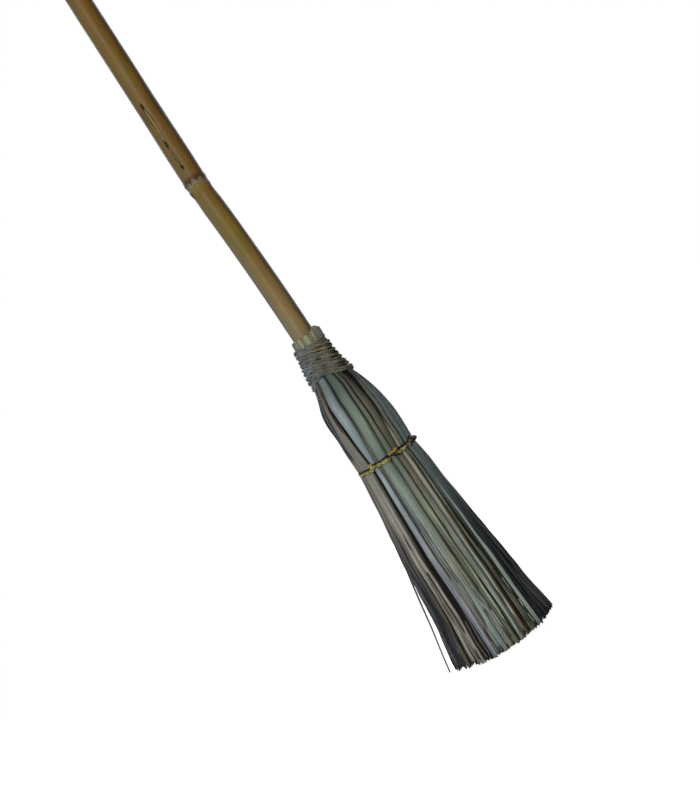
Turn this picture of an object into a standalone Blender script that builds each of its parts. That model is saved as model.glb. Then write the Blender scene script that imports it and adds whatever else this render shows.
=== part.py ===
"""Palm broom, standing on its leaf tips at Z 0 with the cane handle up and its front towards -Y.

A hollow cane is the handle. Palm leaves are tied to its lower end by their butts, folded down over
that tie, lashed at the neck, and stitched flat in five bundles. Below the stitching they are split.
"""

import math
import random

import bmesh
import bpy
from mathutils import Vector

# Lengths are in metres. A share is a part of the size that it is named after.
CLEARANCE = 0.0003  # between pieces that touch
OVERRUN = 0.004  # how far a cutter runs past what it cuts

# Cane handle
CANE_DIAMETER = 0.0233
CANE_WALL = 0.0034
EXPOSED_CANE = 0.779  # from the top of the head to the sawn end
CANE_INSERTION = 0.071  # inside the head
FIRST_NODE_ABOVE_HEAD = 0.188
INTERNODE_LENGTH = 0.292
NODE_ZONE = 0.020  # the stretch of cane that swells and dips at a node
SEPTUM_THICKNESS = 0.004
SAWN_CHAMFER = 0.0006
NODE_KNEE = 0.0057  # how far the first node stands off the line of the head
LEAN_SHARES = (0.010, -0.004)  # sideways travel by height, above the first and the second node
CANE_SIDES = 24
CANE_BOW_POINTS = 4
SHARP_ANGLE = math.radians(40)
# Along a node, in shares of NODE_ZONE and of the radius
NODE_SHARES = ((-1.2, 0.945), (-0.4, 0.985), (-0.1, 1.02), (0.1, 1.02), (0.3, 0.985), (0.6, 1.0))
INTERNODE_SWELL_SHARE = 1.03
# Drying crack in the cane above the first node
CRACK_WIDTH = 0.0008
CRACK_LENGTH = 0.074
CRACK_ABOVE_NODE = 0.020
CRACK_BEARING = math.radians(247)  # -Y is 270 degrees

# Head
HEAD_LENGTH = 0.371
LEAF_THICKNESS = 0.0010
LEAF_GAP = 0.0006  # between leaves side by side
FOLD_ROOM = 0.0012  # between the two legs of a folded leaf
FOLD_TAIL = 0.046  # the leg that lies along the cane
FOLD_STEPS = 3
SECTION_POWER = 2.5  # 2 is an ellipse, and more is squarer
NECK_FLARE = 0.0068  # how much the neck grows down the lashing
HIP_DROP = 0.013  # from the foot of the lashing to where the leaves splay
HIP_WIDTH = 0.0268  # the widths and depths here are half sizes
HIP_DEPTH = 0.0222
SHOULDER_RISE = 0.055  # above the stitching
SHOULDER_WIDTH = 0.0315
SHOULDER_DEPTH = 0.0225
STITCH_HEIGHT = 0.226
STITCH_WIDTH = 0.0342
STITCH_DEPTH = 0.0200
TIP_WIDTH = 0.0600
TIP_DEPTH = 0.0310
HEAD_OFFSET = 0.0022  # the fan's middle, to the right of the cane
NECK_DEPTH_SHARE = 0.95  # of the neck's half width at the foot of the lashing

# Split ends
SPLIT_BELOW_GAPS = 0.0005  # the split starts this far below the gaps for the stitching
TIP_ARC = 0.0085  # how much shorter the outer ends are
TIP_RAGGEDNESS = 0.0040
TIP_CUT = 0.0005  # the lowest ends are cut level by this much, so that the broom stands
STRAND_SHARE = 0.80  # of its cell, at the split
STRAND_SPREAD_SHARE = 1.5  # widening of a strand down to its tip
STAGGER_SHARE = 0.9  # how far strands in alternate rows stand aside, of the room in their cells
BUNDLE_END_SHARE = 0.985  # where the outer bundles stop, in half widths
BUNDLE_ROWS = 8
BUNDLE_COLUMNS = (7, 9, 5, 7, 3)
BUNDLE_BORDER_SHARES = (-0.535, 0.088, 0.388, 0.822)  # of the half width
STRAY_STRAW = ("side_leaf_left", 1)  # the leaf and the number of its strip
STRAY_REACH = 0.0068  # how far the stray straw's tip stands out

# Leaves on the front and the back of each bundle: from and to, in shares of the bundle's width, and
# the number of strips that the leaf is split into
FRONT_LEAF_SHARES = (
    ((0.0, 0.38, 2), (0.38, 1.0, 4)),
    ((0.0, 0.38, 3), (0.38, 0.50, 2), (0.50, 1.0, 4)),
    ((0.0, 0.56, 2), (0.56, 1.0, 2)),
    ((0.0, 0.42, 2), (0.42, 0.64, 2), (0.64, 1.0, 2)),
    ((0.0, 1.0, 2),),
)
BACK_LEAF_SHARES = (
    ((0.0, 0.60, 3), (0.60, 1.0, 2)),
    ((0.0, 0.45, 3), (0.45, 1.0, 4)),
    ((0.0, 1.0, 3),),
    ((0.0, 0.50, 3), (0.50, 1.0, 2)),
    ((0.0, 1.0, 2),),
)
LEAF_END_SHARE = 0.955  # where the front and back leaves end and a side leaf begins
SIDE_LEAF_STRIPS = 4

# Cords
TWINE_DIAMETER = 0.0031
LASHING_LENGTH = 0.047
LASHING_DROP = 0.0068  # from the top of the head
LASHING_TURNS = 12
LASHING_TILT = 0.0016  # how far the lowest turns slope to each side
LASHING_TILT_BEARING = math.radians(120)
TIE_DIAMETER = 0.0024
TIE_TURNS = 2
TIE_PITCH = 0.0030
TIE_ABOVE_BUNDLES = 0.0008
POINTS_PER_TURN = 24
STITCH_CORD_DIAMETER = 0.0020
STITCH_ROW_PITCH = 0.0024
STITCH_STEP_SHARE = 2.2  # spacing of a strand's points, in diameters
LEAST_FACE_STEPS = 3  # of a strand over a narrow bundle
STITCH_LIFT_SHARE = 0.58  # of the pitch, where a strand turns into a gap
EDGE_SHARES = (0.78, 0.42)  # places of a strand's points round an edge, of the side leaf's depth
CORD_BEVEL_RESOLUTION = 1

CANE_RADIUS = CANE_DIAMETER / 2
FOLD_INNER = CANE_RADIUS + CLEARANCE
COLLAR_HALF = FOLD_INNER + LEAF_THICKNESS + FOLD_ROOM + LEAF_THICKNESS
FOLD_RADIUS = (COLLAR_HALF - FOLD_INNER) / 2
FOLD_HEIGHT = HEAD_LENGTH - FOLD_RADIUS
LASHING_TOP = HEAD_LENGTH - LASHING_DROP
LASHING_FOOT = LASHING_TOP - LASHING_LENGTH
NECK_WIDTH = COLLAR_HALF + NECK_FLARE
CANE_END = HEAD_LENGTH - CANE_INSERTION
FIRST_NODE = HEAD_LENGTH + FIRST_NODE_ABOVE_HEAD
SECOND_NODE = FIRST_NODE + INTERNODE_LENGTH
CANE_TOP = HEAD_LENGTH + EXPOSED_CANE
STITCH_STANDOFF = STITCH_CORD_DIAMETER / 2 + 2 * CLEARANCE
SLOT_HALF_WIDTH = STITCH_CORD_DIAMETER / 2 + LEAF_GAP + 2 * CLEARANCE
SLOT_HALF_HEIGHT = 2 * STITCH_ROW_PITCH + CLEARANCE
SLOT_RAMP = 2 * STITCH_CORD_DIAMETER
SPLIT_HEIGHT = STITCH_HEIGHT - SLOT_HALF_HEIGHT - SLOT_RAMP - SPLIT_BELOW_GAPS
TAIL_END = HEAD_LENGTH - FOLD_TAIL
TIE_FOOT = TAIL_END + TIE_DIAMETER / 2 + CLEARANCE
BUNDLE_TOP = TIE_FOOT - TIE_DIAMETER / 2 - TIE_ABOVE_BUNDLES

# Height, middle, half width and half depth of the head, from the fold down
STATIONS = (
    (FOLD_HEIGHT, 0, COLLAR_HALF, COLLAR_HALF),
    (LASHING_FOOT, 0, NECK_WIDTH, NECK_WIDTH * NECK_DEPTH_SHARE),
    (LASHING_FOOT - HIP_DROP, HEAD_OFFSET / 2, HIP_WIDTH, HIP_DEPTH),
    (STITCH_HEIGHT + SHOULDER_RISE, HEAD_OFFSET, SHOULDER_WIDTH, SHOULDER_DEPTH),
    (STITCH_HEIGHT, HEAD_OFFSET, STITCH_WIDTH, STITCH_DEPTH),
    (0, HEAD_OFFSET, TIP_WIDTH, TIP_DEPTH),
)

FINISHES = {  # linear colour and roughness
    "cane": ((0.171, 0.120, 0.056), 0.45),
    "twine": ((0.102, 0.108, 0.080), 0.80),
    "yellow_cord": ((0.420, 0.285, 0.050), 0.60),
    "dark_cord": ((0.030, 0.022, 0.035), 0.60),
    "inner_leaf": ((0.105, 0.108, 0.090), 0.70),
    "blue_grey_leaf": ((0.165, 0.195, 0.195), 0.60),
    "sage_leaf": ((0.150, 0.175, 0.130), 0.60),
    "tan_leaf": ((0.165, 0.140, 0.100), 0.65),
}


def clear_scene():
    """Removes every object."""
    for obj in list(bpy.data.objects):
        bpy.data.objects.remove(obj, do_unlink=True)


def finish(name):
    """The Principled material of that name, made once."""
    made = bpy.data.materials.get(name)
    if made:
        return made
    colour, roughness = FINISHES[name]
    made = bpy.data.materials.new(name)
    made.use_nodes = True
    shader = made.node_tree.nodes["Principled BSDF"]
    shader.inputs["Base Color"].default_value = (*colour, 1)
    shader.inputs["Roughness"].default_value = roughness
    shader.inputs["Metallic"].default_value = 0
    return made


def add_mesh(name, vertices, faces, finish_name=None):
    """A closed mesh object with its faces pointing out."""
    mesh = bpy.data.meshes.new(name)
    mesh.from_pydata(vertices, [], faces)
    shape = bmesh.new()
    shape.from_mesh(mesh)
    bmesh.ops.recalc_face_normals(shape, faces=shape.faces)
    shape.to_mesh(mesh)
    shape.free()
    obj = bpy.data.objects.new(name, mesh)
    bpy.context.collection.objects.link(obj)
    if finish_name:
        mesh.materials.append(finish(finish_name))
    return obj


def stacked_rings(name, rings, finish_name=None):
    """A closed solid through rings of as many points each."""
    sides = len(rings[0])
    faces = [tuple(range(sides))]
    for row in range(len(rings) - 1):
        for side in range(sides):
            here, beside = row * sides + side, row * sides + (side + 1) % sides
            faces.append((here, beside, beside + sides, here + sides))
    faces.append(tuple(range((len(rings) - 1) * sides, len(rings) * sides)))
    return add_mesh(name, [point for ring in rings for point in ring], faces, finish_name)


def as_cutter(obj):
    """Keeps a cutter out of the model itself."""
    obj.hide_render = True
    obj.display_type = "WIRE"
    return obj


def cut(obj, cutter):
    """Takes the cutter's shape away from the object."""
    boolean = obj.modifiers.new(cutter.name, "BOOLEAN")
    boolean.operation = "DIFFERENCE"
    boolean.solver = "EXACT"
    boolean.object = cutter


def mix(start, end, share):
    """The value at that share of the way from start to end."""
    return start + (end - start) * share


def between(table, place):
    """The row of a table sorted by its first column, blended at that place."""
    rows = sorted(table)
    place = min(max(place, rows[0][0]), rows[-1][0])
    for low, high in zip(rows, rows[1:]):
        if place <= high[0]:
            share = (place - low[0]) / (high[0] - low[0])
            return [mix(a, b, share) for a, b in zip(low[1:], high[1:])]
    return list(rows[-1][1:])


def envelope(height):
    """Middle, half width and half depth of the head at that height."""
    return between(STATIONS, height)


def ring_heights(top, bottom, extra=()):
    """Every height between top and bottom where the head changes shape, from the top down."""
    inside = {row[0] for row in STATIONS if bottom < row[0] < top}
    inside |= {height for height in extra if bottom < height < top}
    return [top, *sorted(inside, reverse=True), bottom]


def section_depth(share, half_depth):
    """How deep the section is at that share of its half width."""
    rest = max(0, 1 - abs(share) ** SECTION_POWER)
    return half_depth * rest ** (1 / SECTION_POWER)


def section_at_bearing(bearing, half_width, half_depth):
    """The point of the section's outline in that direction from its middle."""
    across, deep = math.cos(bearing), math.sin(bearing)
    power = SECTION_POWER
    reach = (abs(across / half_width) ** power + abs(deep / half_depth) ** power) ** (-1 / power)
    return Vector((reach * across, reach * deep))


def stand_off(place, half_width, half_depth, distance):
    """The point that far out from a point of the section's outline, square to the outline."""
    power = SECTION_POWER - 1
    across = math.copysign(abs(place.x / half_width) ** power / half_width, place.x)
    deep = math.copysign(abs(place.y / half_depth) ** power / half_depth, place.y)
    return place + Vector((across, deep)).normalized() * distance


# Cane


def cane_middle(height):
    """Sideways place of the cane's middle: a bow up to the first node, then two straight leans."""
    if height <= FIRST_NODE:
        share = max(0, height - HEAD_LENGTH) / FIRST_NODE_ABOVE_HEAD
        return -NODE_KNEE * share**2
    above = min(height, SECOND_NODE) - FIRST_NODE
    higher = max(0, height - SECOND_NODE)
    return -NODE_KNEE + LEAN_SHARES[0] * above + LEAN_SHARES[1] * higher


def cane_profile():
    """Height and radius of the cane's outside, from its lower end up."""
    rows = [(CANE_END, CANE_RADIUS)]
    rows += [(height, CANE_RADIUS) for height in bow_heights()]
    for node in (FIRST_NODE, SECOND_NODE):
        rows += [(node + NODE_ZONE * along, CANE_RADIUS * wide) for along, wide in NODE_SHARES]
        rows.append((node + 2 * NODE_ZONE, CANE_RADIUS * INTERNODE_SWELL_SHARE))
    rows.append((CANE_TOP - SAWN_CHAMFER, CANE_RADIUS))
    rows.append((CANE_TOP, CANE_RADIUS - SAWN_CHAMFER))
    return rows


def outward(bearing):
    """The level direction of length one with that bearing."""
    return Vector((math.cos(bearing), math.sin(bearing), 0))


def cane_bearings():
    """The bearings of the points of a ring round the cane."""
    return [math.tau * side / CANE_SIDES for side in range(CANE_SIDES)]


def turned_along_cane(name, rows, finish_name=None):
    """A solid of round sections, given as height and radius, that follows the cane's middle."""
    rings = []
    for height, radius in rows:
        middle = Vector((cane_middle(height), 0, height))
        rings.append([middle + outward(bearing) * radius for bearing in cane_bearings()])
    return stacked_rings(name, rings, finish_name)


def bow_heights():
    """Heights that follow the bow of the cane below its first node."""
    foot, top = HEAD_LENGTH, FIRST_NODE - 2 * NODE_ZONE
    last = CANE_BOW_POINTS - 1
    return [mix(foot, top, point / last) for point in range(CANE_BOW_POINTS)]


def cane_bore(name, foot, top):
    """A cutter for one hollow of the cane."""
    radius = CANE_RADIUS - CANE_WALL
    inside = [height for height in bow_heights() if foot < height < top]
    return as_cutter(turned_along_cane(name, [(h, radius) for h in (foot, *inside, top)]))


def crack_cutter():
    """A thin blade that opens the cane's wall above the first node."""
    foot = FIRST_NODE + CRACK_ABOVE_NODE
    near, far = CANE_RADIUS - CANE_WALL - OVERRUN / 2, CANE_RADIUS + OVERRUN
    inward_out = outward(CRACK_BEARING)
    sideways = outward(CRACK_BEARING + math.pi / 2) * CRACK_WIDTH / 2
    rings = []
    for height in (foot, foot + CRACK_LENGTH):
        middle = Vector((cane_middle(height), 0, height))
        corners = ((near, -1), (far, -1), (far, 1), (near, 1))
        rings.append([middle + inward_out * reach + sideways * side for reach, side in corners])
    return as_cutter(stacked_rings("crack_cutter", rings))


def cane_handle():
    """The culm: hollow, with a wall across it at each node, open at both ends and at the crack."""
    cane = turned_along_cane("cane_handle", cane_profile(), "cane")
    half_septum = SEPTUM_THICKNESS / 2
    cut(cane, cane_bore("lower_hollow", CANE_END - OVERRUN, FIRST_NODE - half_septum))
    cut(cane, cane_bore("middle_hollow", FIRST_NODE + half_septum, SECOND_NODE - half_septum))
    cut(cane, cane_bore("upper_hollow", SECOND_NODE + half_septum, CANE_TOP + OVERRUN))
    cut(cane, crack_cutter())
    cane.data.shade_smooth()
    cane.data.set_sharp_from_angle(angle=SHARP_ANGLE)


# Leaves and bristles


def half_slot(height):
    """Half the gap between two bundles: it opens at the stitching, where the cords pass through."""
    away = abs(height - STITCH_HEIGHT) - SLOT_HALF_HEIGHT
    share = min(max(away / SLOT_RAMP, 0), 1)
    return mix(SLOT_HALF_WIDTH, LEAF_GAP / 2, share)


def border_place(border, height):
    """Sideways place of the middle of the gap between two bundles."""
    middle, half_width, _ = envelope(height)
    return middle + half_width * BUNDLE_BORDER_SHARES[border]


def bundle_sides(bundle, height, end_share, inset=0):
    """Left and right of a bundle. The outer bundles stop at that share of the half width."""
    middle, half_width, _ = envelope(height)
    reach = (half_width - inset) * end_share
    left, right = middle - reach, middle + reach
    if bundle > 0:
        left = border_place(bundle - 1, height) + half_slot(height)
    if bundle < len(BUNDLE_BORDER_SHARES):
        right = border_place(bundle, height) - half_slot(height)
    return left, right


def slot_heights():
    """Heights where the gap between the bundles changes."""
    top, foot = STITCH_HEIGHT + SLOT_HALF_HEIGHT, STITCH_HEIGHT - SLOT_HALF_HEIGHT
    return [top, top + SLOT_RAMP, foot]


def strand_corners(cell, width_share, depth_share, aside):
    """The corners of a strand in its cell: those shares of it, and aside by part of what is left."""
    corners = []
    shift = aside * STAGGER_SHARE * (1 - width_share) / 2
    for side, end in ((-1, -1), (1, -1), (1, 1), (-1, 1)):
        across, deep = shift + (1 + side * width_share) / 2, (1 + end * depth_share) / 2
        near = cell[0].lerp(cell[1], across)
        far = cell[3].lerp(cell[2], across)
        corners.append(near.lerp(far, deep))
    return corners


def cells_of(outer, inner, rows):
    """A grid of cells between an outer and an inner line of points, as corners that go round."""
    grid = []
    for left_out, right_out, left_in, right_in in zip(outer, outer[1:], inner, inner[1:]):
        column = []
        for row in range(rows):
            near, far = row / rows, (row + 1) / rows
            column.append(
                [
                    left_out.lerp(left_in, near),
                    right_out.lerp(right_in, near),
                    right_out.lerp(right_in, far),
                    left_out.lerp(left_in, far),
                ]
            )
        grid.append(column)
    return grid


def tip_height(share, seed):
    """How high a strand ends: on an arc, a little ragged, and cut level at the floor."""
    ragged = random.Random(seed).random() * TIP_RAGGEDNESS
    return max(0, TIP_ARC * share**2 + ragged - TIP_CUT)


def strand_ends(name, number, row, rows, cell, section):
    """The top and tip corners of the strand that starts in that cell, of so many rows."""
    aside = (-1) ** row if rows > 1 else 0
    top = strand_corners(cell, STRAND_SHARE, STRAND_SHARE, aside)
    middle, half_width, _ = envelope(SPLIT_HEIGHT)
    share = (sum(corner.x for corner in top) / len(top) - middle) / half_width
    height = tip_height(share, f"{name} {number} {row}")
    low_cell = cells_of(*section(height), rows)[number][row]
    widening = (low_cell[1] - low_cell[0]).length / (cell[1] - cell[0]).length
    low_share = min(STRAND_SHARE, STRAND_SHARE * STRAND_SPREAD_SHARE / widening)
    low = strand_corners(low_cell, low_share, STRAND_SHARE, aside)
    if (name, number) == STRAY_STRAW:
        aside_by = Vector((math.copysign(STRAY_REACH, share), 0, 0))
        low = [corner + aside_by for corner in low]
    return top, low


def strand_faces(base):
    """The sides and the tip of a strand whose eight corners start at that number."""
    sides = [(i, (i + 1) % 4, (i + 1) % 4 + 4, i + 4) for i in range(4)]
    return [tuple(base + corner for corner in face) for face in (*sides, (4, 5, 6, 7))]


def underside(starts, foot, points):
    """The faces between the strands, where they leave the body."""
    outer_foot = range(foot, foot + points)
    inner_foot = range(foot + 2 * points - 1, foot + points - 1, -1)
    faces = []
    for number, bases in enumerate(starts):
        for base, below in zip(bases, bases[1:]):
            faces.append((base + 3, base + 2, below + 1, below))
        first, last = bases[0], bases[-1]
        faces.append((outer_foot[number], outer_foot[number + 1], first + 1, first))
        faces.append((inner_foot[number], inner_foot[number + 1], last + 2, last + 3))
    for border in range(points):
        left, right = [], []
        if border > 0:
            left = [base + corner for base in starts[border - 1] for corner in (1, 2)]
        if border < points - 1:
            right = [base + corner for base in reversed(starts[border]) for corner in (3, 0)]
        faces.append((outer_foot[border], *left, inner_foot[border], *right))
    return faces


def comb(name, rings, section, rows, finish_name):
    """A closed body through rings of outer and inner points, split below the last ring into strands.

    Each ring is a line of outer points and a line of inner points, left to right. The section
    function gives the same two lines at any height of the split part.
    """
    points = len(rings[0][0])
    loop = 2 * points
    vertices = []
    for outer, inner in rings:
        vertices += [*outer, *reversed(inner)]
    faces = [(i, i + 1, loop - 2 - i, loop - 1 - i) for i in range(points - 1)]
    for ring in range(len(rings) - 1):
        for i in range(loop):
            here, beside = ring * loop + i, ring * loop + (i + 1) % loop
            faces.append((here, beside, beside + loop, here + loop))

    starts = []
    for number, column in enumerate(cells_of(*rings[-1], rows)):
        starts.append([])
        for row, cell in enumerate(column):
            starts[-1].append(len(vertices))
            faces += strand_faces(len(vertices))
            for end in strand_ends(name, number, row, rows, cell, section):
                vertices += end
    faces += underside(starts, (len(rings) - 1) * loop, points)
    return add_mesh(name, vertices, faces, finish_name)


def bundle_section(bundle, columns):
    """The function that gives a bundle's front and back lines at a height."""

    def section(height):
        middle, half_width, half_depth = envelope(height)
        inset = LEAF_THICKNESS + CLEARANCE
        half_width, half_depth = half_width - inset, half_depth - inset
        left, right = bundle_sides(bundle, height, BUNDLE_END_SHARE, inset)
        front, back = [], []
        for column in range(columns + 1):
            across = mix(left, right, column / columns)
            depth = section_depth((across - middle) / half_width, half_depth)
            front.append(Vector((across, -depth, height)))
            back.append(Vector((across, depth, height)))
        return front, back

    return section


def neck_cutter():
    """What the bundles leave clear for the cane and for the tails of the folded leaves."""
    tail_room = FOLD_INNER + LEAF_THICKNESS + CLEARANCE
    rows = (
        (CANE_END - CLEARANCE, FOLD_INNER),
        (TAIL_END - CLEARANCE, FOLD_INNER),
        (TAIL_END, tail_room),
        (FOLD_HEIGHT, tail_room),
    )
    rings = []
    for height, half in rows:
        places = [section_at_bearing(bearing, half, half) for bearing in cane_bearings()]
        rings.append([(*place, height) for place in places])
    return as_cutter(stacked_rings("neck_cutter", rings))


def bristle_bundles():
    """Five bundles across the head, packed round the cane's end and split below the stitching."""
    cutter = neck_cutter()
    for bundle, columns in enumerate(BUNDLE_COLUMNS):
        section = bundle_section(bundle, columns)
        rings = [section(h) for h in ring_heights(BUNDLE_TOP, SPLIT_HEIGHT, slot_heights())]
        name = f"bristle_bundle_{bundle + 1}"
        cut(comb(name, rings, section, BUNDLE_ROWS, "inner_leaf"), cutter)


def leaf_lines(places, side, half_width, half_depth, height, low_height):
    """Outer and inner lines of a leaf. Places are shares of the half width, with a side each."""
    outer, inner = [], []
    for line, shrink, level in ((outer, 0, height), (inner, LEAF_THICKNESS, low_height)):
        for share, facing in zip(places, side):
            depth = section_depth(share, half_depth - shrink)
            line.append(Vector(((half_width - shrink) * share, facing * depth, level)))
    return outer, inner


def leaf_section(places_at):
    """The function that gives a leaf's outer and inner lines on the head's outside at a height."""

    def section(height):
        middle, half_width, half_depth = envelope(height)
        places, side = places_at(height)
        lines = leaf_lines(places, side, half_width, half_depth, height, height)
        return [[point + Vector((middle, 0, 0)) for point in line] for line in lines]

    return section


def fold_rings(places_at):
    """The leaf's tail along the cane and its fold over the first tie, from the tail's end."""
    places, side = places_at(FOLD_HEIGHT)
    fold_middle = FOLD_INNER + FOLD_RADIUS
    tail_places = [[], []]
    for line, half in zip(tail_places, (FOLD_INNER, FOLD_INNER + LEAF_THICKNESS)):
        for share, facing in zip(places, side):
            line.append(Vector((half * share, facing * section_depth(share, half), TAIL_END)))
    rings = [tail_places]
    for step in range(FOLD_STEPS):
        turn = math.pi * (1 - step / FOLD_STEPS)
        ring = []
        for radius in (FOLD_RADIUS, FOLD_RADIUS - LEAF_THICKNESS):
            half = fold_middle + radius * math.cos(turn)
            level = FOLD_HEIGHT + radius * math.sin(turn)
            depths = [facing * section_depth(share, half) for share, facing in zip(places, side)]
            ring.append([Vector((half * s, d, level)) for s, d in zip(places, depths)])
        rings.append(ring)
    return rings


def folded_leaf(name, places_at, finish_name):
    """One palm leaf: tail, fold, blade on the outside of the head, and strips to the floor."""
    section = leaf_section(places_at)
    heights = ring_heights(FOLD_HEIGHT, SPLIT_HEIGHT, slot_heights())
    rings = fold_rings(places_at) + [section(height) for height in heights]
    comb(name, rings, section, 1, finish_name)


def face_leaf_places(bundle, start, end, strips, facing):
    """Where a front or back leaf's points lie across the head, at any height."""

    def places_at(height):
        middle, half_width, _ = envelope(height)
        left, right = bundle_sides(bundle, height, LEAF_END_SHARE)
        low = mix(left, right, start) + (LEAF_GAP / 2 if start > 0 else 0)
        high = mix(left, right, end) - (LEAF_GAP / 2 if end < 1 else 0)
        across = [mix(low, high, i / strips) for i in range(strips + 1)]
        return [(x - middle) / half_width for x in across], [facing] * len(across)

    return places_at


def side_leaf_places(direction):
    """Where a side leaf's points lie, from the front round the edge to the back."""

    def places_at(height):
        _, half_width, half_depth = envelope(height)
        start = LEAF_END_SHARE
        depth = section_depth(start, 1) - LEAF_GAP / half_depth
        places, side = [], []
        for i in range(SIDE_LEAF_STRIPS + 1):
            deep = mix(-depth, depth, i / SIDE_LEAF_STRIPS)
            places.append(direction * section_depth(deep, 1))
            side.append(math.copysign(1, deep))
        return places, side

    return places_at


def leaves():
    """Leaves on the front, the back and both edges of the head."""
    colours = ("tan_leaf", "blue_grey_leaf", "sage_leaf")
    for facing, word, table in ((-1, "front", FRONT_LEAF_SHARES), (1, "back", BACK_LEAF_SHARES)):
        number = 0
        for bundle, row in enumerate(table):
            for start, end, strips in row:
                number += 1
                places_at = face_leaf_places(bundle, start, end, strips, facing)
                colour = colours[(number - 1) % len(colours)]
                folded_leaf(f"{word}_leaf_{number}", places_at, colour)
    folded_leaf("side_leaf_left", side_leaf_places(-1), "blue_grey_leaf")
    folded_leaf("side_leaf_right", side_leaf_places(1), "blue_grey_leaf")


# Cords


def cord(name, points, diameter, finish_name):
    """A round cord through those points, with closed ends."""
    data = bpy.data.curves.new(name, "CURVE")
    data.dimensions = "3D"
    data.bevel_depth = diameter / 2
    data.bevel_resolution = CORD_BEVEL_RESOLUTION
    data.use_fill_caps = True
    spline = data.splines.new("POLY")
    spline.points.add(len(points) - 1)
    for place, point in zip(spline.points, points):
        place.co = (*point, 1)
    data.materials.append(finish(finish_name))
    obj = bpy.data.objects.new(name, data)
    bpy.context.collection.objects.link(obj)
    return obj


def with_straight_ends(points, reach):
    """The route with a straight run of that length added at each end."""
    first = points[0] + (points[0] - points[1]).normalized() * reach
    last = points[-1] + (points[-1] - points[-2]).normalized() * reach
    return [first, *points, last]


def least_gap(points, diameter):
    """The smallest gap between a winding's neighbouring turns."""
    apart = POINTS_PER_TURN // 2
    pairs = ((a, b) for i, a in enumerate(points) for b in points[i + apart :])
    return min((a - b).length for a, b in pairs) - diameter


def chord_room(half):
    """How far the chord between two points of a turn lies inside the turn, at its tightest bend."""
    tightest = half * (SECTION_POWER - 1)
    return tightest * (1 - math.cos(math.pi / POINTS_PER_TURN))


def winding(name, turns, top, foot, halves_at, diameter, tilt, finish_name):
    """One unbroken cord wound from top to foot, its lower turns sloping by the tilt."""
    steps = turns * POINTS_PER_TURN
    points = []
    for step in range(steps + 1):
        share = step / steps
        bearing = math.tau * step / POINTS_PER_TURN
        level = mix(top, foot, share)
        middle, half_width, half_depth = halves_at(level)
        standoff = diameter / 2 + CLEARANCE + chord_room(half_width)
        place = section_at_bearing(bearing, half_width, half_depth)
        place = stand_off(place, half_width, half_depth, standoff)
        slope = tilt * share * math.cos(bearing - LASHING_TILT_BEARING)
        points.append(Vector((middle + place.x, place.y, level + slope)))
    print(f"{name}: least gap {1000 * least_gap(points, diameter):.2f} mm")
    cord(name, with_straight_ends(points, diameter), diameter, finish_name)


def windings():
    """The hidden first tie round the leaf butts, and the lashing round the neck."""
    tail_half = FOLD_INNER + LEAF_THICKNESS

    def tail_halves(_height):
        return 0, tail_half, tail_half

    tie_top = TIE_FOOT + TIE_TURNS * TIE_PITCH
    winding("inner_tie", TIE_TURNS, tie_top, TIE_FOOT, tail_halves, TIE_DIAMETER, 0, "twine")
    half_twine = TWINE_DIAMETER / 2
    top, foot = LASHING_TOP - half_twine, LASHING_FOOT + half_twine
    winding(
        "lashing_twine", LASHING_TURNS, top, foot, envelope, TWINE_DIAMETER, LASHING_TILT, "twine"
    )


def face_run(bundle, facing, level, lift):
    """A cord's points over the front or back of one bundle, left to right.

    The first and last point next to a gap between bundles are lifted towards the cord's way
    through that gap.
    """
    middle, half_width, half_depth = envelope(level)
    left, right = bundle_sides(bundle, STITCH_HEIGHT, LEAF_END_SHARE)
    spacing = STITCH_STEP_SHARE * STITCH_CORD_DIAMETER
    steps = max(LEAST_FACE_STEPS, round((right - left) / spacing))
    points = []
    for step in range(steps + 1):
        share = (mix(left, right, step / steps) - middle) / half_width
        place = Vector((share * half_width, facing * section_depth(share, half_depth)))
        place = stand_off(place, half_width, half_depth, STITCH_STANDOFF)
        at_gap = (step == 0 and bundle > 0) or (step == steps and bundle < len(BUNDLE_COLUMNS) - 1)
        points.append(Vector((middle + place.x, place.y, level + (lift if at_gap else 0))))
    return points


def slot_run(border, facing, level):
    """A cord's two points through the gap after a bundle, going away from the face it was on."""
    middle, half_width, half_depth = envelope(STITCH_HEIGHT)
    across = border_place(border, STITCH_HEIGHT)
    depth = section_depth((across - middle) / half_width, half_depth)
    return [Vector((across, side * depth, level)) for side in (facing, -facing)]


def edge_run(direction, places, levels, bulge=0):
    """A cord's points round the left or right edge, at shares of the side leaf's depth.

    The bulge lifts it off the middle half of the edge, to clear the other strand there.
    """
    middle, half_width, half_depth = envelope(STITCH_HEIGHT)
    reach = section_depth(LEAF_END_SHARE, half_depth)
    points = []
    for step, share in enumerate(places):
        deep = share * reach
        place = Vector((direction * section_depth(deep / half_depth, half_width), deep))
        out = STITCH_STANDOFF + bulge * min(1, 2 * (1 - abs(share)))
        place = stand_off(place, half_width, half_depth, out)
        level = mix(*levels, step / (len(places) - 1))
        points.append(Vector((middle + place.x, place.y, level)))
    return points


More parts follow.
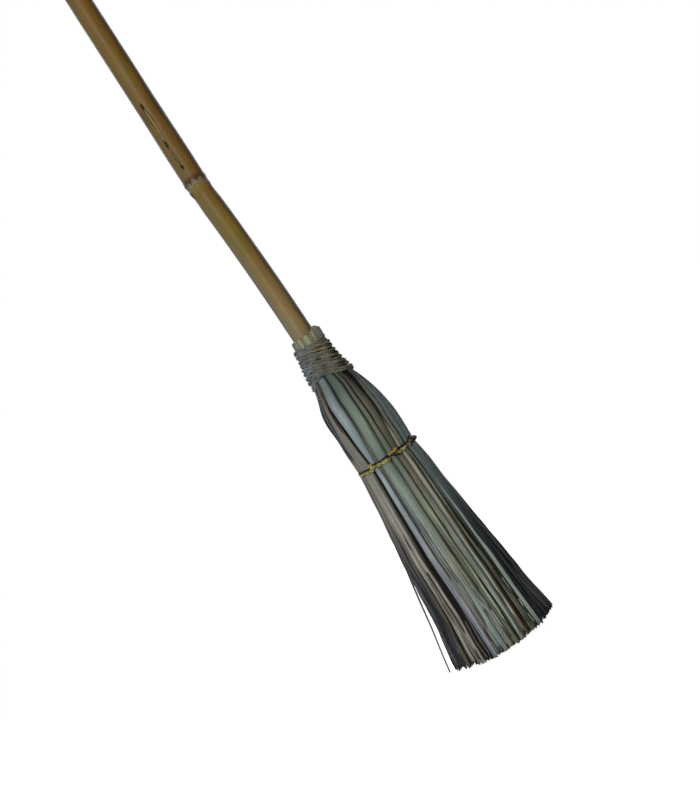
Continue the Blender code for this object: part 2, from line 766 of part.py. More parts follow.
def stitch_strand(name, first_facing, gap_levels, bulge, finish_name):
    """One strand that weaves from the left edge to the right and back, a row lower.

    It lies on the front of one bundle and on the back of the next. The gap levels say how far off
    each row's line it goes through the gaps, so that the two strands pass each other there, and
    the bulge how far out it crosses the other strand at the right edge.
    """
    last = len(BUNDLE_COLUMNS) - 1
    half_pitch = STITCH_ROW_PITCH / 2
    upper, lower = STITCH_HEIGHT + half_pitch, STITCH_HEIGHT - half_pitch
    outer, inner = EDGE_SHARES
    end_share = 2 * STITCH_STANDOFF / STITCH_DEPTH
    facing = first_facing
    start_places = [facing * share for share in (end_share, inner, outer)]
    points = edge_run(-1, start_places, (upper, upper))
    for bundle in range(last + 1):
        points += face_run(bundle, facing, upper, gap_levels[0] * STITCH_LIFT_SHARE)
        if bundle < last:
            points += slot_run(bundle, facing, upper + gap_levels[0])
            facing = -facing
    turn_places = [facing * share for share in (outer, inner, 0, -inner, -outer)]
    points += edge_run(1, turn_places, (upper, lower), bulge)
    facing = -facing
    for bundle in range(last, -1, -1):
        points += reversed(face_run(bundle, facing, lower, gap_levels[1] * STITCH_LIFT_SHARE))
        if bundle > 0:
            points += slot_run(bundle - 1, facing, lower + gap_levels[1])
            facing = -facing
    end_places = [facing * share for share in (outer, inner, end_share)]
    points += edge_run(-1, end_places, (lower, lower))
    cord(name, points, STITCH_CORD_DIAMETER, finish_name)


def stitching():
    """Two strands twined through the head, which hold the five bundles in a flat fan."""
    pitch = STITCH_ROW_PITCH
    stitch_strand("stitch_strand_yellow", -1, (pitch, 0), pitch, "yellow_cord")
    stitch_strand("stitch_strand_dark", 1, (0, -pitch), 0, "dark_cord")


def stand_on_origin():
    """Moves every piece so that the middle of the whole box's bottom is the origin."""
    bpy.context.view_layer.update()
    graph = bpy.context.evaluated_depsgraph_get()
    corners = []
    for obj in bpy.context.collection.objects:
        if obj.hide_render:
            continue
        evaluated = obj.evaluated_get(graph)
        mesh = evaluated.to_mesh()
        corners += [evaluated.matrix_world @ vertex.co for vertex in mesh.vertices]
        evaluated.to_mesh_clear()
    low = Vector([min(point[axis] for point in corners) for axis in range(3)])
    high = Vector([max(point[axis] for point in corners) for axis in range(3)])
    shift = Vector(((low.x + high.x) / 2, (low.y + high.y) / 2, low.z))
    for obj in bpy.context.collection.objects:
        obj.location -= shift
    print("origin moved by", *(f"{1000 * part:.2f}" for part in shift), "mm")


def main():
    clear_scene()
    cane_handle()
    bristle_bundles()
    leaves()
    windings()
    stitching()
    stand_on_origin()


main()
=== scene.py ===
"""The looks of a palm broom: a cane handle in a fan of dried leaf strips, lashed with twine and stitched."""

import logging
import math
from dataclasses import dataclass
from enum import Enum

import bmesh
import bpy
import numpy as np
from mathutils import Matrix, Vector


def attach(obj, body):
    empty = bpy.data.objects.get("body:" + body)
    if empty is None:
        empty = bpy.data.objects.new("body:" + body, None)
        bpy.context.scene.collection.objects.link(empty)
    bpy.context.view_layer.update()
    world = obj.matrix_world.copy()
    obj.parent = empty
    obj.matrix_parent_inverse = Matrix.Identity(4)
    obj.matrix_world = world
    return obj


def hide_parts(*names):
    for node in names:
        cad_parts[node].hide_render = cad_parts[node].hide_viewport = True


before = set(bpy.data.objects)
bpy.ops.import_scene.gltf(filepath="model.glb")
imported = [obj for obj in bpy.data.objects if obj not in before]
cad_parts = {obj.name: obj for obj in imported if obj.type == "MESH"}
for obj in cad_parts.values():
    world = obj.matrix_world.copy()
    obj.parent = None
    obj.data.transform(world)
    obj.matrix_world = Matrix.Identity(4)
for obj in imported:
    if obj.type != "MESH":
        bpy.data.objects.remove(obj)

MM = 0.001
TAU = 2 * math.pi
LOG = logging.getLogger("palm_broom")
TONE = "tone"  # the colour attribute of every piece
LAY = "lay"  # the UV map of every piece, in metres
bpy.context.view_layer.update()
STITCH = 226 * MM  # the stitching's middle height
COLLAR_TOP = 371 * MM  # where the folded leaves end and the bare cane begins
INNER_TOP = 326 * MM  # where the leaves' tails and the bristles end, inside the neck
NECK_MIDDLE = 1.25 * MM  # how far the cane stands to the right there
TIP_ARC = 8.5  # how much higher the tips end at the sides than in the middle, in millimetres
TIP_POWER = 2.2  # how late that rise sets in towards the sides
FLOOR_HALF = (58, 30)  # the head's half width and half depth at the floor, in millimetres
PLY_SHARE = 0.265  # a ply's radius as a share of its cord's thickness; over a quarter, plies press together


# Tones


def linear(red: float, green: float, blue: float) -> np.ndarray:
    """Turn a display colour from 0 to 255 into linear light.

    Args:
        red, green, blue: the display colour.

    Returns:
        Three linear values.
    """
    share = np.array([red, green, blue]) / 255
    return np.where(share <= 0.04045, share / 12.92, ((share + 0.055) / 1.055) ** 2.4)


class Tone(Enum):
    """What a strip of dried leaf, a cord or the cane looks like, as a display colour."""

    CREAM = (144, 140, 114)
    BLUISH_WHITE = (136, 150, 153)
    LILAC_WHITE = (132, 135, 141)
    PALE_GREEN = (134, 144, 140)
    SAGE = (118, 133, 120)
    PALE_SAGE = (120, 127, 117)
    GREY_GREEN = (110, 116, 101)
    OLIVE = (95, 97, 80)
    OLIVE_BROWN = (90, 88, 72)
    WARM_GREY = (134, 132, 124)
    GREY_TAN = (119, 116, 106)
    PALE_TAN = (132, 131, 115)
    OCHRE = (112, 96, 66)
    BROWN = (84, 70, 52)
    DARK_BROWN = (60, 50, 40)
    BLUE_GREY = (94, 106, 107)
    BLUE_VIOLET = (84, 86, 96)
    SLATE = (62, 66, 74)
    DARK_GREEN = (58, 68, 60)
    NEAR_BLACK = (40, 40, 42)
    CANE_UPPER = (110, 83, 28)
    CANE_MIDDLE = (124, 101, 44)
    CANE_LOWER = (136, 116, 72)
    CANE_GREEN = (104, 98, 40)
    CANE_BROWN = (70, 48, 24)
    CANE_BLOOM = (142, 131, 106)
    CANE_SCAR = (62, 46, 44)
    CANE_SIDE = (128, 124, 112)
    # painted shade for the cane's shaded right side
    CANE_PAINTED_SHADE = (56, 43, 35)
    CANE_YOUNG = (128, 118, 62)
    CANE_INSIDE = (176, 156, 116)
    # painted shade in the cane's crack
    CRACK_PAINTED_SHADE = (44, 30, 12)
    TWINE_GREY = (112, 117, 106)
    TWINE_TAN = (112, 108, 86)
    TWINE_BLUE = (118, 127, 132)
    TWINE_BROWN = (84, 76, 58)
    TWINE_LILAC = (124, 114, 120)
    TWINE_RUST = (116, 82, 66)
    TWINE_STRAW = (128, 114, 72)
    CORD_YELLOW = (186, 178, 108)
    CORD_OLIVE = (104, 108, 66)
    CORD_ORANGE = (176, 138, 58)
    CORD_TAN = (128, 106, 66)
    CORD_DARK = (34, 26, 26)
    CORD_LILAC = (92, 88, 96)
    CORD_PALE = (112, 110, 100)

    def light(self) -> np.ndarray:
        """Give the tone's linear colour."""
        return linear(*self.value)

    def frayed(self) -> np.ndarray:
        """Give the colour below the stitching, where the middle tones are paler and the dark darker.

        Returns:
            Three linear values.
        """
        plain = self.light()
        means = (0.02, 0.06, 0.11, 0.16, 0.22, 0.32)
        return plain * np.interp(plain.mean(), means, (0.45, 0.62, 1.25, 1.5, 1.25, 1.0))


def blend_tones(first: Tone | np.ndarray, second: Tone | np.ndarray, share: np.ndarray) -> np.ndarray:
    """Mix two colours, share 0 giving the first and 1 the second.

    Args:
        first, second: tones, or linear colours, one or many.
        share: an array of any shape.

    Returns:
        An array of share's shape with the three values last.
    """
    first, second = (tone.light() if isinstance(tone, Tone) else tone for tone in (first, second))
    return first + (second - first) * np.asarray(share)[..., None]


def ease(value: np.ndarray, start: float, end: float) -> np.ndarray:
    """Rise smoothly from 0 at start to 1 at end, by the cubic 3t squared less 2t cubed.

    Args:
        value: where to work it out.
        start, end: where the rise begins and ends; end may be the lower one.

    Returns:
        Shares from 0 to 1, of value's shape.
    """
    t = np.clip((value - start) / (end - start), 0, 1)
    return t * t * (3 - 2 * t)


def ripple(place: np.ndarray, rng: np.random.Generator, waves: int = 4, base: float = 1.0) -> np.ndarray:
    """Add sines of rising frequency and falling strength into a smooth noise of about plus or minus 1.

    Args:
        place: where to work it out.
        rng: gives the frequencies and phases.
        waves: how many sines.
        base: cycles of the slowest sine over one unit of place.

    Returns:
        The noise, of place's shape.
    """
    total = np.zeros_like(place, dtype=float)
    for wave in range(waves):
        cycles = base * (1.7**wave) * rng.uniform(0.8, 1.2)
        total += np.sin(TAU * (cycles * place + rng.random())) / (1.35**wave)
    return total / 2.2


def bell(value: np.ndarray, middle: np.ndarray | float, width: np.ndarray | float) -> np.ndarray:
    """Give a smooth bump: 1 at the middle and 1/e at a width from it."""
    return np.exp(-(((value - middle) / width) ** 2))


def toward(bearing: np.ndarray, degrees: float, sharp: float) -> np.ndarray:
    """Give a smooth bump round an axis: 1 at a bearing in degrees, narrower where it is sharper."""
    return np.exp((np.cos(bearing - math.radians(degrees)) - 1) * sharp)


def around(bearing: np.ndarray, middle: float) -> np.ndarray:
    """Give how far a bearing is from a middle, from minus to plus half a turn."""
    return (bearing - middle + math.pi) % TAU - math.pi


def unit(vectors: np.ndarray) -> np.ndarray:
    """Give vectors the length 1."""
    return vectors / np.linalg.norm(vectors, axis=-1, keepdims=True)


# Meshes


class Patchwork:
    """Gathers grids of points into one mesh, with a UV map in metres and a tone for each point."""

    def __init__(self) -> None:
        """Start with no points."""
        self.points: list[np.ndarray] = []
        self.tones: list[np.ndarray] = []
        self.corners: list[np.ndarray] = []
        self.sizes: list[np.ndarray] = []
        self.uvs: list[np.ndarray] = []
        self.count = 0

    def add(
        self,
        points: np.ndarray,
        uv: np.ndarray,
        tones: np.ndarray,
        wrap: bool = False,
        caps: bool = False,
        flip: bool = False,
    ) -> None:
        """Add grids that all have the same rows and columns.

        Args:
            points: grids, rows, columns and the three coordinates.
            uv: grids, rows, columns (one more where the columns wrap) and two values.
            tones: grids, rows, columns and three values, or what spreads to that.
            wrap: whether the last column joins the first.
            caps: whether a face closes each end of a wrapped grid.
            flip: whether the faces turn the other way.
        """
        grids, rows, columns, _ = points.shape
        across = columns if wrap else columns - 1
        row, column = np.meshgrid(np.arange(rows - 1), np.arange(across), indexing="ij")
        steps = ((0, 0), (0, 1), (1, 1), (1, 0))
        inside = np.stack([(row + r) * columns + (column + c) % columns for r, c in steps], -1)
        placed = np.stack([(row + r) * uv.shape[2] + column + c for r, c in steps], -1)
        base = self.count + np.arange(grids)[:, None] * rows * columns
        quads = base[:, :, None] + inside.reshape(1, -1, 4)
        flat_uv = uv.reshape(grids, -1, 2)
        quad_uv = flat_uv[:, placed.reshape(-1, 4)]
        if flip:
            quads, quad_uv = quads[..., ::-1], quad_uv[:, :, ::-1]
        self._keep(quads.reshape(-1, 4), quad_uv.reshape(-1, 4, 2))
        if caps:
            ring = np.arange(columns)
            for start, turned in ((0, not flip), (rows - 1, flip)):
                order = ring[::-1] if turned else ring
                faces = base + start * columns + order
                cap_uv = flat_uv[:, start * uv.shape[2] + order]
                self._keep(faces, cap_uv)
        self.points.append(points.reshape(-1, 3))
        self.tones.append(np.broadcast_to(tones, points.shape).reshape(-1, 3))
        self.count += grids * rows * columns

    def _keep(self, faces: np.ndarray, uv: np.ndarray) -> None:
        """Keep faces of one size.

        Args:
            faces: a row of points for each face.
            uv: the UV of each of their corners.
        """
        self.corners.append(faces.reshape(-1))
        self.sizes.append(np.full(len(faces), faces.shape[1]))
        self.uvs.append(uv.reshape(-1, 2))

    def build(self, name: str, merge: bool = False) -> bpy.types.Object:
        """Make the mesh and its object.

        Args:
            name: the object's name.
            merge: whether points in the same place become one.

        Returns:
            The object, at the origin and linked to the scene.
        """
        points, corners = np.concatenate(self.points), np.concatenate(self.corners)
        sizes = np.concatenate(self.sizes)
        starts = np.concatenate(([0], np.cumsum(sizes)[:-1]))
        mesh = bpy.data.meshes.new(name)
        mesh.vertices.add(len(points))
        mesh.vertices.foreach_set("co", points.astype(np.float32).ravel())
        mesh.loops.add(len(corners))
        mesh.loops.foreach_set("vertex_index", corners.astype(np.int32))
        mesh.polygons.add(len(sizes))
        mesh.polygons.foreach_set("loop_start", starts.astype(np.int32))
        mesh.update(calc_edges=True)
        mesh.validate()
        layer = mesh.uv_layers.new(name=LAY)
        layer.data.foreach_set("uv", np.concatenate(self.uvs).astype(np.float32).ravel())
        colours = np.ones((len(points), 4), np.float32)
        colours[:, :3] = np.concatenate(self.tones)
        tone = mesh.attributes.new(TONE, "FLOAT_COLOR", "POINT")
        tone.data.foreach_set("color", colours.ravel())
        if merge:
            work = bmesh.new()
            work.from_mesh(mesh)
            bmesh.ops.remove_doubles(work, verts=work.verts, dist=2e-6)
            work.to_mesh(mesh)
            work.free()
        mesh.shade_smooth()
        piece = bpy.data.objects.new(name, mesh)
        bpy.context.scene.collection.objects.link(piece)
        return piece


def settle(piece: bpy.types.Object, material: bpy.types.Material, slot: str, *nodes: str) -> None:
    """Give a piece its finish and its body, and hide the CAD nodes that it stands for.

    Args:
        piece: the finished piece.
        material: what it is made of.
        slot: the record's name for its finish; not used.
        nodes: the CAD nodes that it replaces.
    """
    piece.data.materials.append(material)
    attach(piece, "root")
    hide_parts(*nodes)
    LOG.info("%s: %d faces", piece.name, len(piece.data.polygons))


# Finishes


class Graph:
    """A material's node tree, with short ways to add and join nodes."""

    def __init__(self, name: str) -> None:
        """Start a material that has a Principled shader and nothing else.

        Args:
            name: the material's name.
        """
        self.material = bpy.data.materials.new(name)
        self.material.use_nodes = True
        self.tree = self.material.node_tree
        self.shader = self.tree.nodes["Principled BSDF"]

    def add(self, kind: str, settings: dict | None = None, inputs: dict | None = None) -> bpy.types.Node:
        """Add a node.

        Args:
            kind: the node's type, without ShaderNode.
            settings: its properties by name.
            inputs: a value or another node's output for each input, by name or number.

        Returns:
            The new node.
        """
        node = self.tree.nodes.new("ShaderNode" + kind)
        for key, value in (settings or {}).items():
            setattr(node, key, value)
        for key, value in (inputs or {}).items():
            self.put(node.inputs[key], value)
        return node

    def put(self, socket: bpy.types.NodeSocket, value: object) -> None:
        """Set a socket to a value, or link another node's output to it.

        Args:
            socket: the input.
            value: a value or an output.
        """
        if isinstance(value, bpy.types.NodeSocket):
            self.tree.links.new(value, socket)
        else:
            socket.default_value = value

    def coats(self) -> tuple[bpy.types.NodeSocket, bpy.types.NodeSocket]:
        """Give what every piece carries: its UV map and its tone."""
        lay = self.add("UVMap", {"uv_map": LAY}).outputs[0]
        return lay, self.add("Attribute", {"attribute_name": TONE}).outputs["Color"]

    def math(self, operation: str, first: object, second: object) -> bpy.types.NodeSocket:
        """Work out one sum and give its output."""
        return self.add("Math", {"operation": operation}, {0: first, 1: second}).outputs[0]

    def product(self, first: object, *others: object) -> object:
        """Multiply numbers by each other, from the first to the last.

        Args:
            first, others: values or outputs.

        Returns:
            The output of the last product.
        """
        for other in others:
            first = self.math("MULTIPLY", first, other)
        return first

    def spread(self, value: object, low: float, high: float) -> bpy.types.NodeSocket:
        """Stretch a value from 0 to 1 to the range from low to high."""
        inputs = {"Value": value, "To Min": low, "To Max": high}
        return self.add("MapRange", None, inputs).outputs[0]

    def swing(self, value: object, amount: float) -> bpy.types.NodeSocket:
        """Stretch a noise about 1, by the amount at 0.25 and 0.75, where most of it ends."""
        return self.spread(value, 1 - 2 * amount, 1 + 2 * amount)

    def within(self, value: object, low: float, high: float) -> bpy.types.NodeSocket:
        """Turn the range from low to high into 0 to 1, and cut off what lies outside."""
        inputs = {"Value": value, "From Min": low, "From Max": high}
        return self.add("MapRange", None, inputs).outputs[0]

    def browned(self, tone: object, share: object, factors: tuple) -> bpy.types.NodeSocket:
        """Mix a tone, by a share, with the same tone multiplied by three factors."""
        brown = self.add("VectorMath", {"operation": "MULTIPLY"}, {0: tone, 1: factors})
        return self.mix(share, tone, brown.outputs[0])

    def tint(self, colour: object, strength: object) -> bpy.types.NodeSocket:
        """Multiply a colour by a number."""
        settings = {"operation": "SCALE"}
        return self.add("VectorMath", settings, {0: colour, "Scale": strength}).outputs[0]

    def mix(self, share: object, first: object, second: object) -> bpy.types.NodeSocket:
        """Mix two colours by a share."""
        node = self.add("Mix", {"data_type": "RGBA"}, {0: share, 6: first, 7: second})
        return node.outputs[2]

    def noise(self, vector: object, stretch: tuple, detail: float = 2.0) -> bpy.types.NodeSocket:
        """Give noise whose scale differs along each axis.

        Args:
            vector: the coordinates.
            stretch: how many times each coordinate is multiplied.
            detail: how many finer layers the noise has.

        Returns:
            The noise as a number of about 0.25 to 0.75.
        """
        lay = self.add("Mapping", None, {"Vector": vector, "Scale": stretch})
        inputs = {"Vector": lay.outputs[0], "Scale": 1.0, "Detail": detail, "Roughness": 0.6}
        return self.add("TexNoise", {"noise_dimensions": "3D"}, inputs).outputs[0]

    def bump(self, height: object, depth: float) -> bpy.types.NodeSocket:
        """Give a normal that follows a height, of that depth in metres."""
        inputs = {"Height": height, "Distance": depth, "Strength": 1.0}
        return self.add("Bump", None, inputs).outputs[0]

    def finish(self, inputs: dict) -> bpy.types.Material:
        """Set or link the shader's own inputs.

        Args:
            inputs: a value or an output for each input, by name.

        Returns:
            The material.
        """
        for key, value in inputs.items():
            self.put(self.shader.inputs[key], value)
        return self.material


@dataclass(frozen=True)
class LeafFinish:
    """Dried palm leaf: fine veins along the blade, streaks, blotches and a dull sheen."""

    name: str
    vein: float = 0.16  # how much the veins lighten and darken the leaf
    streak: float = 0.22
    blotch: float = 0.20
    roughness: float = 0.62
    specular: float = 0.28
    depth: float = 0.14 * MM

    def make(self) -> bpy.types.Material:
        """Build the material from the UV map, which is in metres across and along the leaf.

        Returns:
            The material.
        """
        graph = Graph(self.name)
        lay, tone = graph.coats()
        veins = graph.noise(lay, (2300, 9, 1), 3.0)
        streaks = graph.noise(lay, (430, 5, 1), 4.0)
        blotches = graph.noise(lay, (110, 26, 1), 4.0)
        specks = graph.noise(lay, (900, 220, 1), 2.0)
        amounts = ((veins, self.vein), (streaks, self.streak), (blotches, self.blotch), (specks, 0.05))
        strength = graph.product(*(graph.swing(*pair) for pair in amounts))
        share = graph.product(graph.within(blotches, 0.48, 0.72), 0.35)
        colour = graph.tint(graph.browned(tone, share, (1.12, 0.97, 0.76)), strength)
        height = graph.math("ADD", veins, graph.product(streaks, 1.5))
        rough = graph.spread(streaks, self.roughness - 0.14, self.roughness + 0.14)
        inputs = {"Base Color": colour, "Roughness": rough, "Specular IOR Level": self.specular}
        return graph.finish({**inputs, "Normal": graph.bump(height, self.depth)})


@dataclass(frozen=True)
class CordFinish:
    """Twisted fibre: threads along each ply, lighter and darker lengths, and a matt surface."""

    name: str
    thread: float = 0.30
    length_tone: float = 0.20
    roughness: float = 0.8
    specular: float = 0.2
    depth: float = 0.22 * MM

    def make(self) -> bpy.types.Material:
        """Build the material from the UV map, which is in metres round and along a ply.

        Returns:
            The material.
        """
        graph = Graph(self.name)
        lay, tone = graph.coats()
        threads = graph.noise(lay, (2600, 140, 1), 3.0)
        lengths = graph.noise(graph.add("TexCoord").outputs["Object"], (160, 160, 160), 3.0)
        strength = graph.product(graph.swing(threads, self.thread), graph.swing(lengths, self.length_tone))
        colour = graph.tint(tone, strength)
        rough = graph.spread(threads, self.roughness - 0.1, self.roughness + 0.1)
        inputs = {"Base Color": colour, "Roughness": rough, "Specular IOR Level": self.specular}
        return graph.finish({**inputs, "Normal": graph.bump(threads, self.depth)})


@dataclass(frozen=True)
class CaneFinish:
    """A dried culm: a waxy skin with fine fibre lines, mottling, freckles and worn patches."""

    name: str = "cane"
    fibre: float = 0.07
    band: float = 0.08
    mottle: float = 0.16
    roughness: float = 0.46
    specular: float = 0.16
    depth: float = 0.09 * MM

    def make(self) -> bpy.types.Material:
        """Build the material from the UV map, which is in metres round and along the cane.

        Returns:
            The material.
        """
        graph = Graph(self.name)
        lay, tone = graph.coats()
        fibres = graph.noise(lay, (1900, 14, 1), 3.0)
        bands = graph.noise(lay, (330, 7, 1), 3.0)
        mottles = graph.noise(lay, (95, 40, 1), 5.0)
        freckles = graph.noise(lay, (1300, 420, 1), 2.0)
        amounts = ((fibres, self.fibre), (bands, self.band), (mottles, self.mottle))
        strength = graph.product(*(graph.swing(*pair) for pair in amounts))
        spots = graph.product(graph.within(freckles, 0.66, 0.74), 0.28)
        share = graph.product(graph.within(mottles, 0.45, 0.68), 0.6)
        browned = graph.browned(tone, share, (1.05, 0.9, 0.72))
        colour = graph.tint(browned, graph.math("SUBTRACT", strength, spots))
        height = graph.math("ADD", graph.product(fibres, 0.6), bands)
        rough = graph.spread(mottles, self.roughness - 0.16, self.roughness + 0.2)
        inputs = {"Base Color": colour, "Roughness": rough, "Specular IOR Level": self.specular}
        return graph.finish({**inputs, "Normal": graph.bump(height, self.depth)})


# Shape of the head


@dataclass(frozen=True)
class HeadShape:
    """The outside that the leaves, bristles and cords follow: a squarish oval at every height.

    A point of the outline at a bearing is the half width times the cosine and the half depth
    times the sine, each raised to the power of two over the section's own power.
    """

    heights: tuple = (
        0, 26, 56, 86, 116, 146, 176, 206, 218, 226, 234, 244,
        266, 281, 296, 308, 316, 326, 335, 346, 358, 369.4)
    middles: tuple = (
        3.3, 3.5, 4.1, 3.9, 3.3, 3.7, 3.9, 4.6, 4.5, 4.2, 4.5, 4.7,
        5.0, 3.6, 2.4, 2.6, 2.3, 1.6, 1.0, 0.9, 1.5, 1.9)
    half_widths: tuple = (
        58.6, 54.7, 49.8, 47.0, 44.4, 40.6, 37.4, 34.6, 33.2, 32.2, 32.2, 32.4,
        31.9, 31.1, 28.3, 24.6, 22.0, 19.6, 17.8, 16.0, 15.2, 15.2)
    half_depths: tuple = (
        30.6, 29.0, 27.3, 25.6, 24.0, 22.6, 21.2, 20.2, 19.4, 18.8, 19.4, 20.4,
        21.9, 22.2, 21.9, 21.0, 20.0, 18.6, 17.4, 16.0, 15.2, 15.2)
    power: float = 2.5
    reach: tuple = (-20, 420)  # the heights that are worked out, in millimetres
    soften: int = 4  # how many millimetres a change of slope is spread over

    def at(self, height: np.ndarray) -> tuple[np.ndarray, np.ndarray, np.ndarray]:
        """Give the middle, half width and half depth at a height, all in metres.

        The table is read every millimetre, then smoothed by a moving mean.

        Args:
            height: heights in metres.

        Returns:
            Three arrays of height's shape.
        """
        level = np.arange(*self.reach, dtype=float)
        kernel = np.ones(2 * self.soften + 1) / (2 * self.soften + 1)
        out = []
        for row in (self.middles, self.half_widths, self.half_depths):
            fine = np.interp(level, self.heights, row)
            padded = np.pad(fine, self.soften, mode="edge")
            out.append(np.interp(height / MM, level, np.convolve(padded, kernel, "valid")) * MM)
        return out[0], out[1], out[2]

    def bearing(self, share: np.ndarray, facing: int) -> np.ndarray:
        """Turn a share of the half width into a bearing.

        Args:
            share: from -1 at the left edge to 1 at the right one.
            facing: -1 for the front and 1 for the back.

        Returns:
            Bearings of share's shape.
        """
        share = np.clip(np.asarray(share, float), -1, 1)
        turn = np.arccos(np.sign(share) * np.abs(share) ** (self.power / 2))
        return TAU - turn if facing < 0 else turn

    def wrap(
        self,
        bearing: np.ndarray,
        middle: np.ndarray,
        half_width: np.ndarray,
        half_depth: np.ndarray,
        height: np.ndarray,
        lift: np.ndarray,
    ) -> np.ndarray:
        """Give points on an outline, moved out square to it.

        Args:
            bearing: the direction from the middle, where 270 degrees is the front.
            middle, half_width, half_depth: the outline.
            height: the points' heights.
            lift: how far out of the outline the points stand.

        Returns:
            The points, with the three coordinates last.
        """
        cosine, sine = np.cos(bearing), np.sin(bearing)
        across = np.sign(cosine) * np.abs(cosine) ** (2 / self.power)
        deep = np.sign(sine) * np.abs(sine) ** (2 / self.power)
        steep = self.power - 1
        out_x = np.sign(across) * np.abs(across) ** steep / half_width
        out_y = np.sign(deep) * np.abs(deep) ** steep / half_depth
        length = np.hypot(out_x, out_y)
        x = middle + half_width * across + lift * out_x / length
        y = half_depth * deep + lift * out_y / length
        return np.stack(np.broadcast_arrays(x, y, height), -1)

    def place(self, bearing: np.ndarray, height: np.ndarray, lift: np.ndarray) -> np.ndarray:
        """Give points of the head's own outline at those heights, moved out by lift."""
        middle, half_width, half_depth = self.at(height)
        return self.wrap(bearing, middle, half_width, half_depth, height, lift)


HEAD = HeadShape()


# Cane


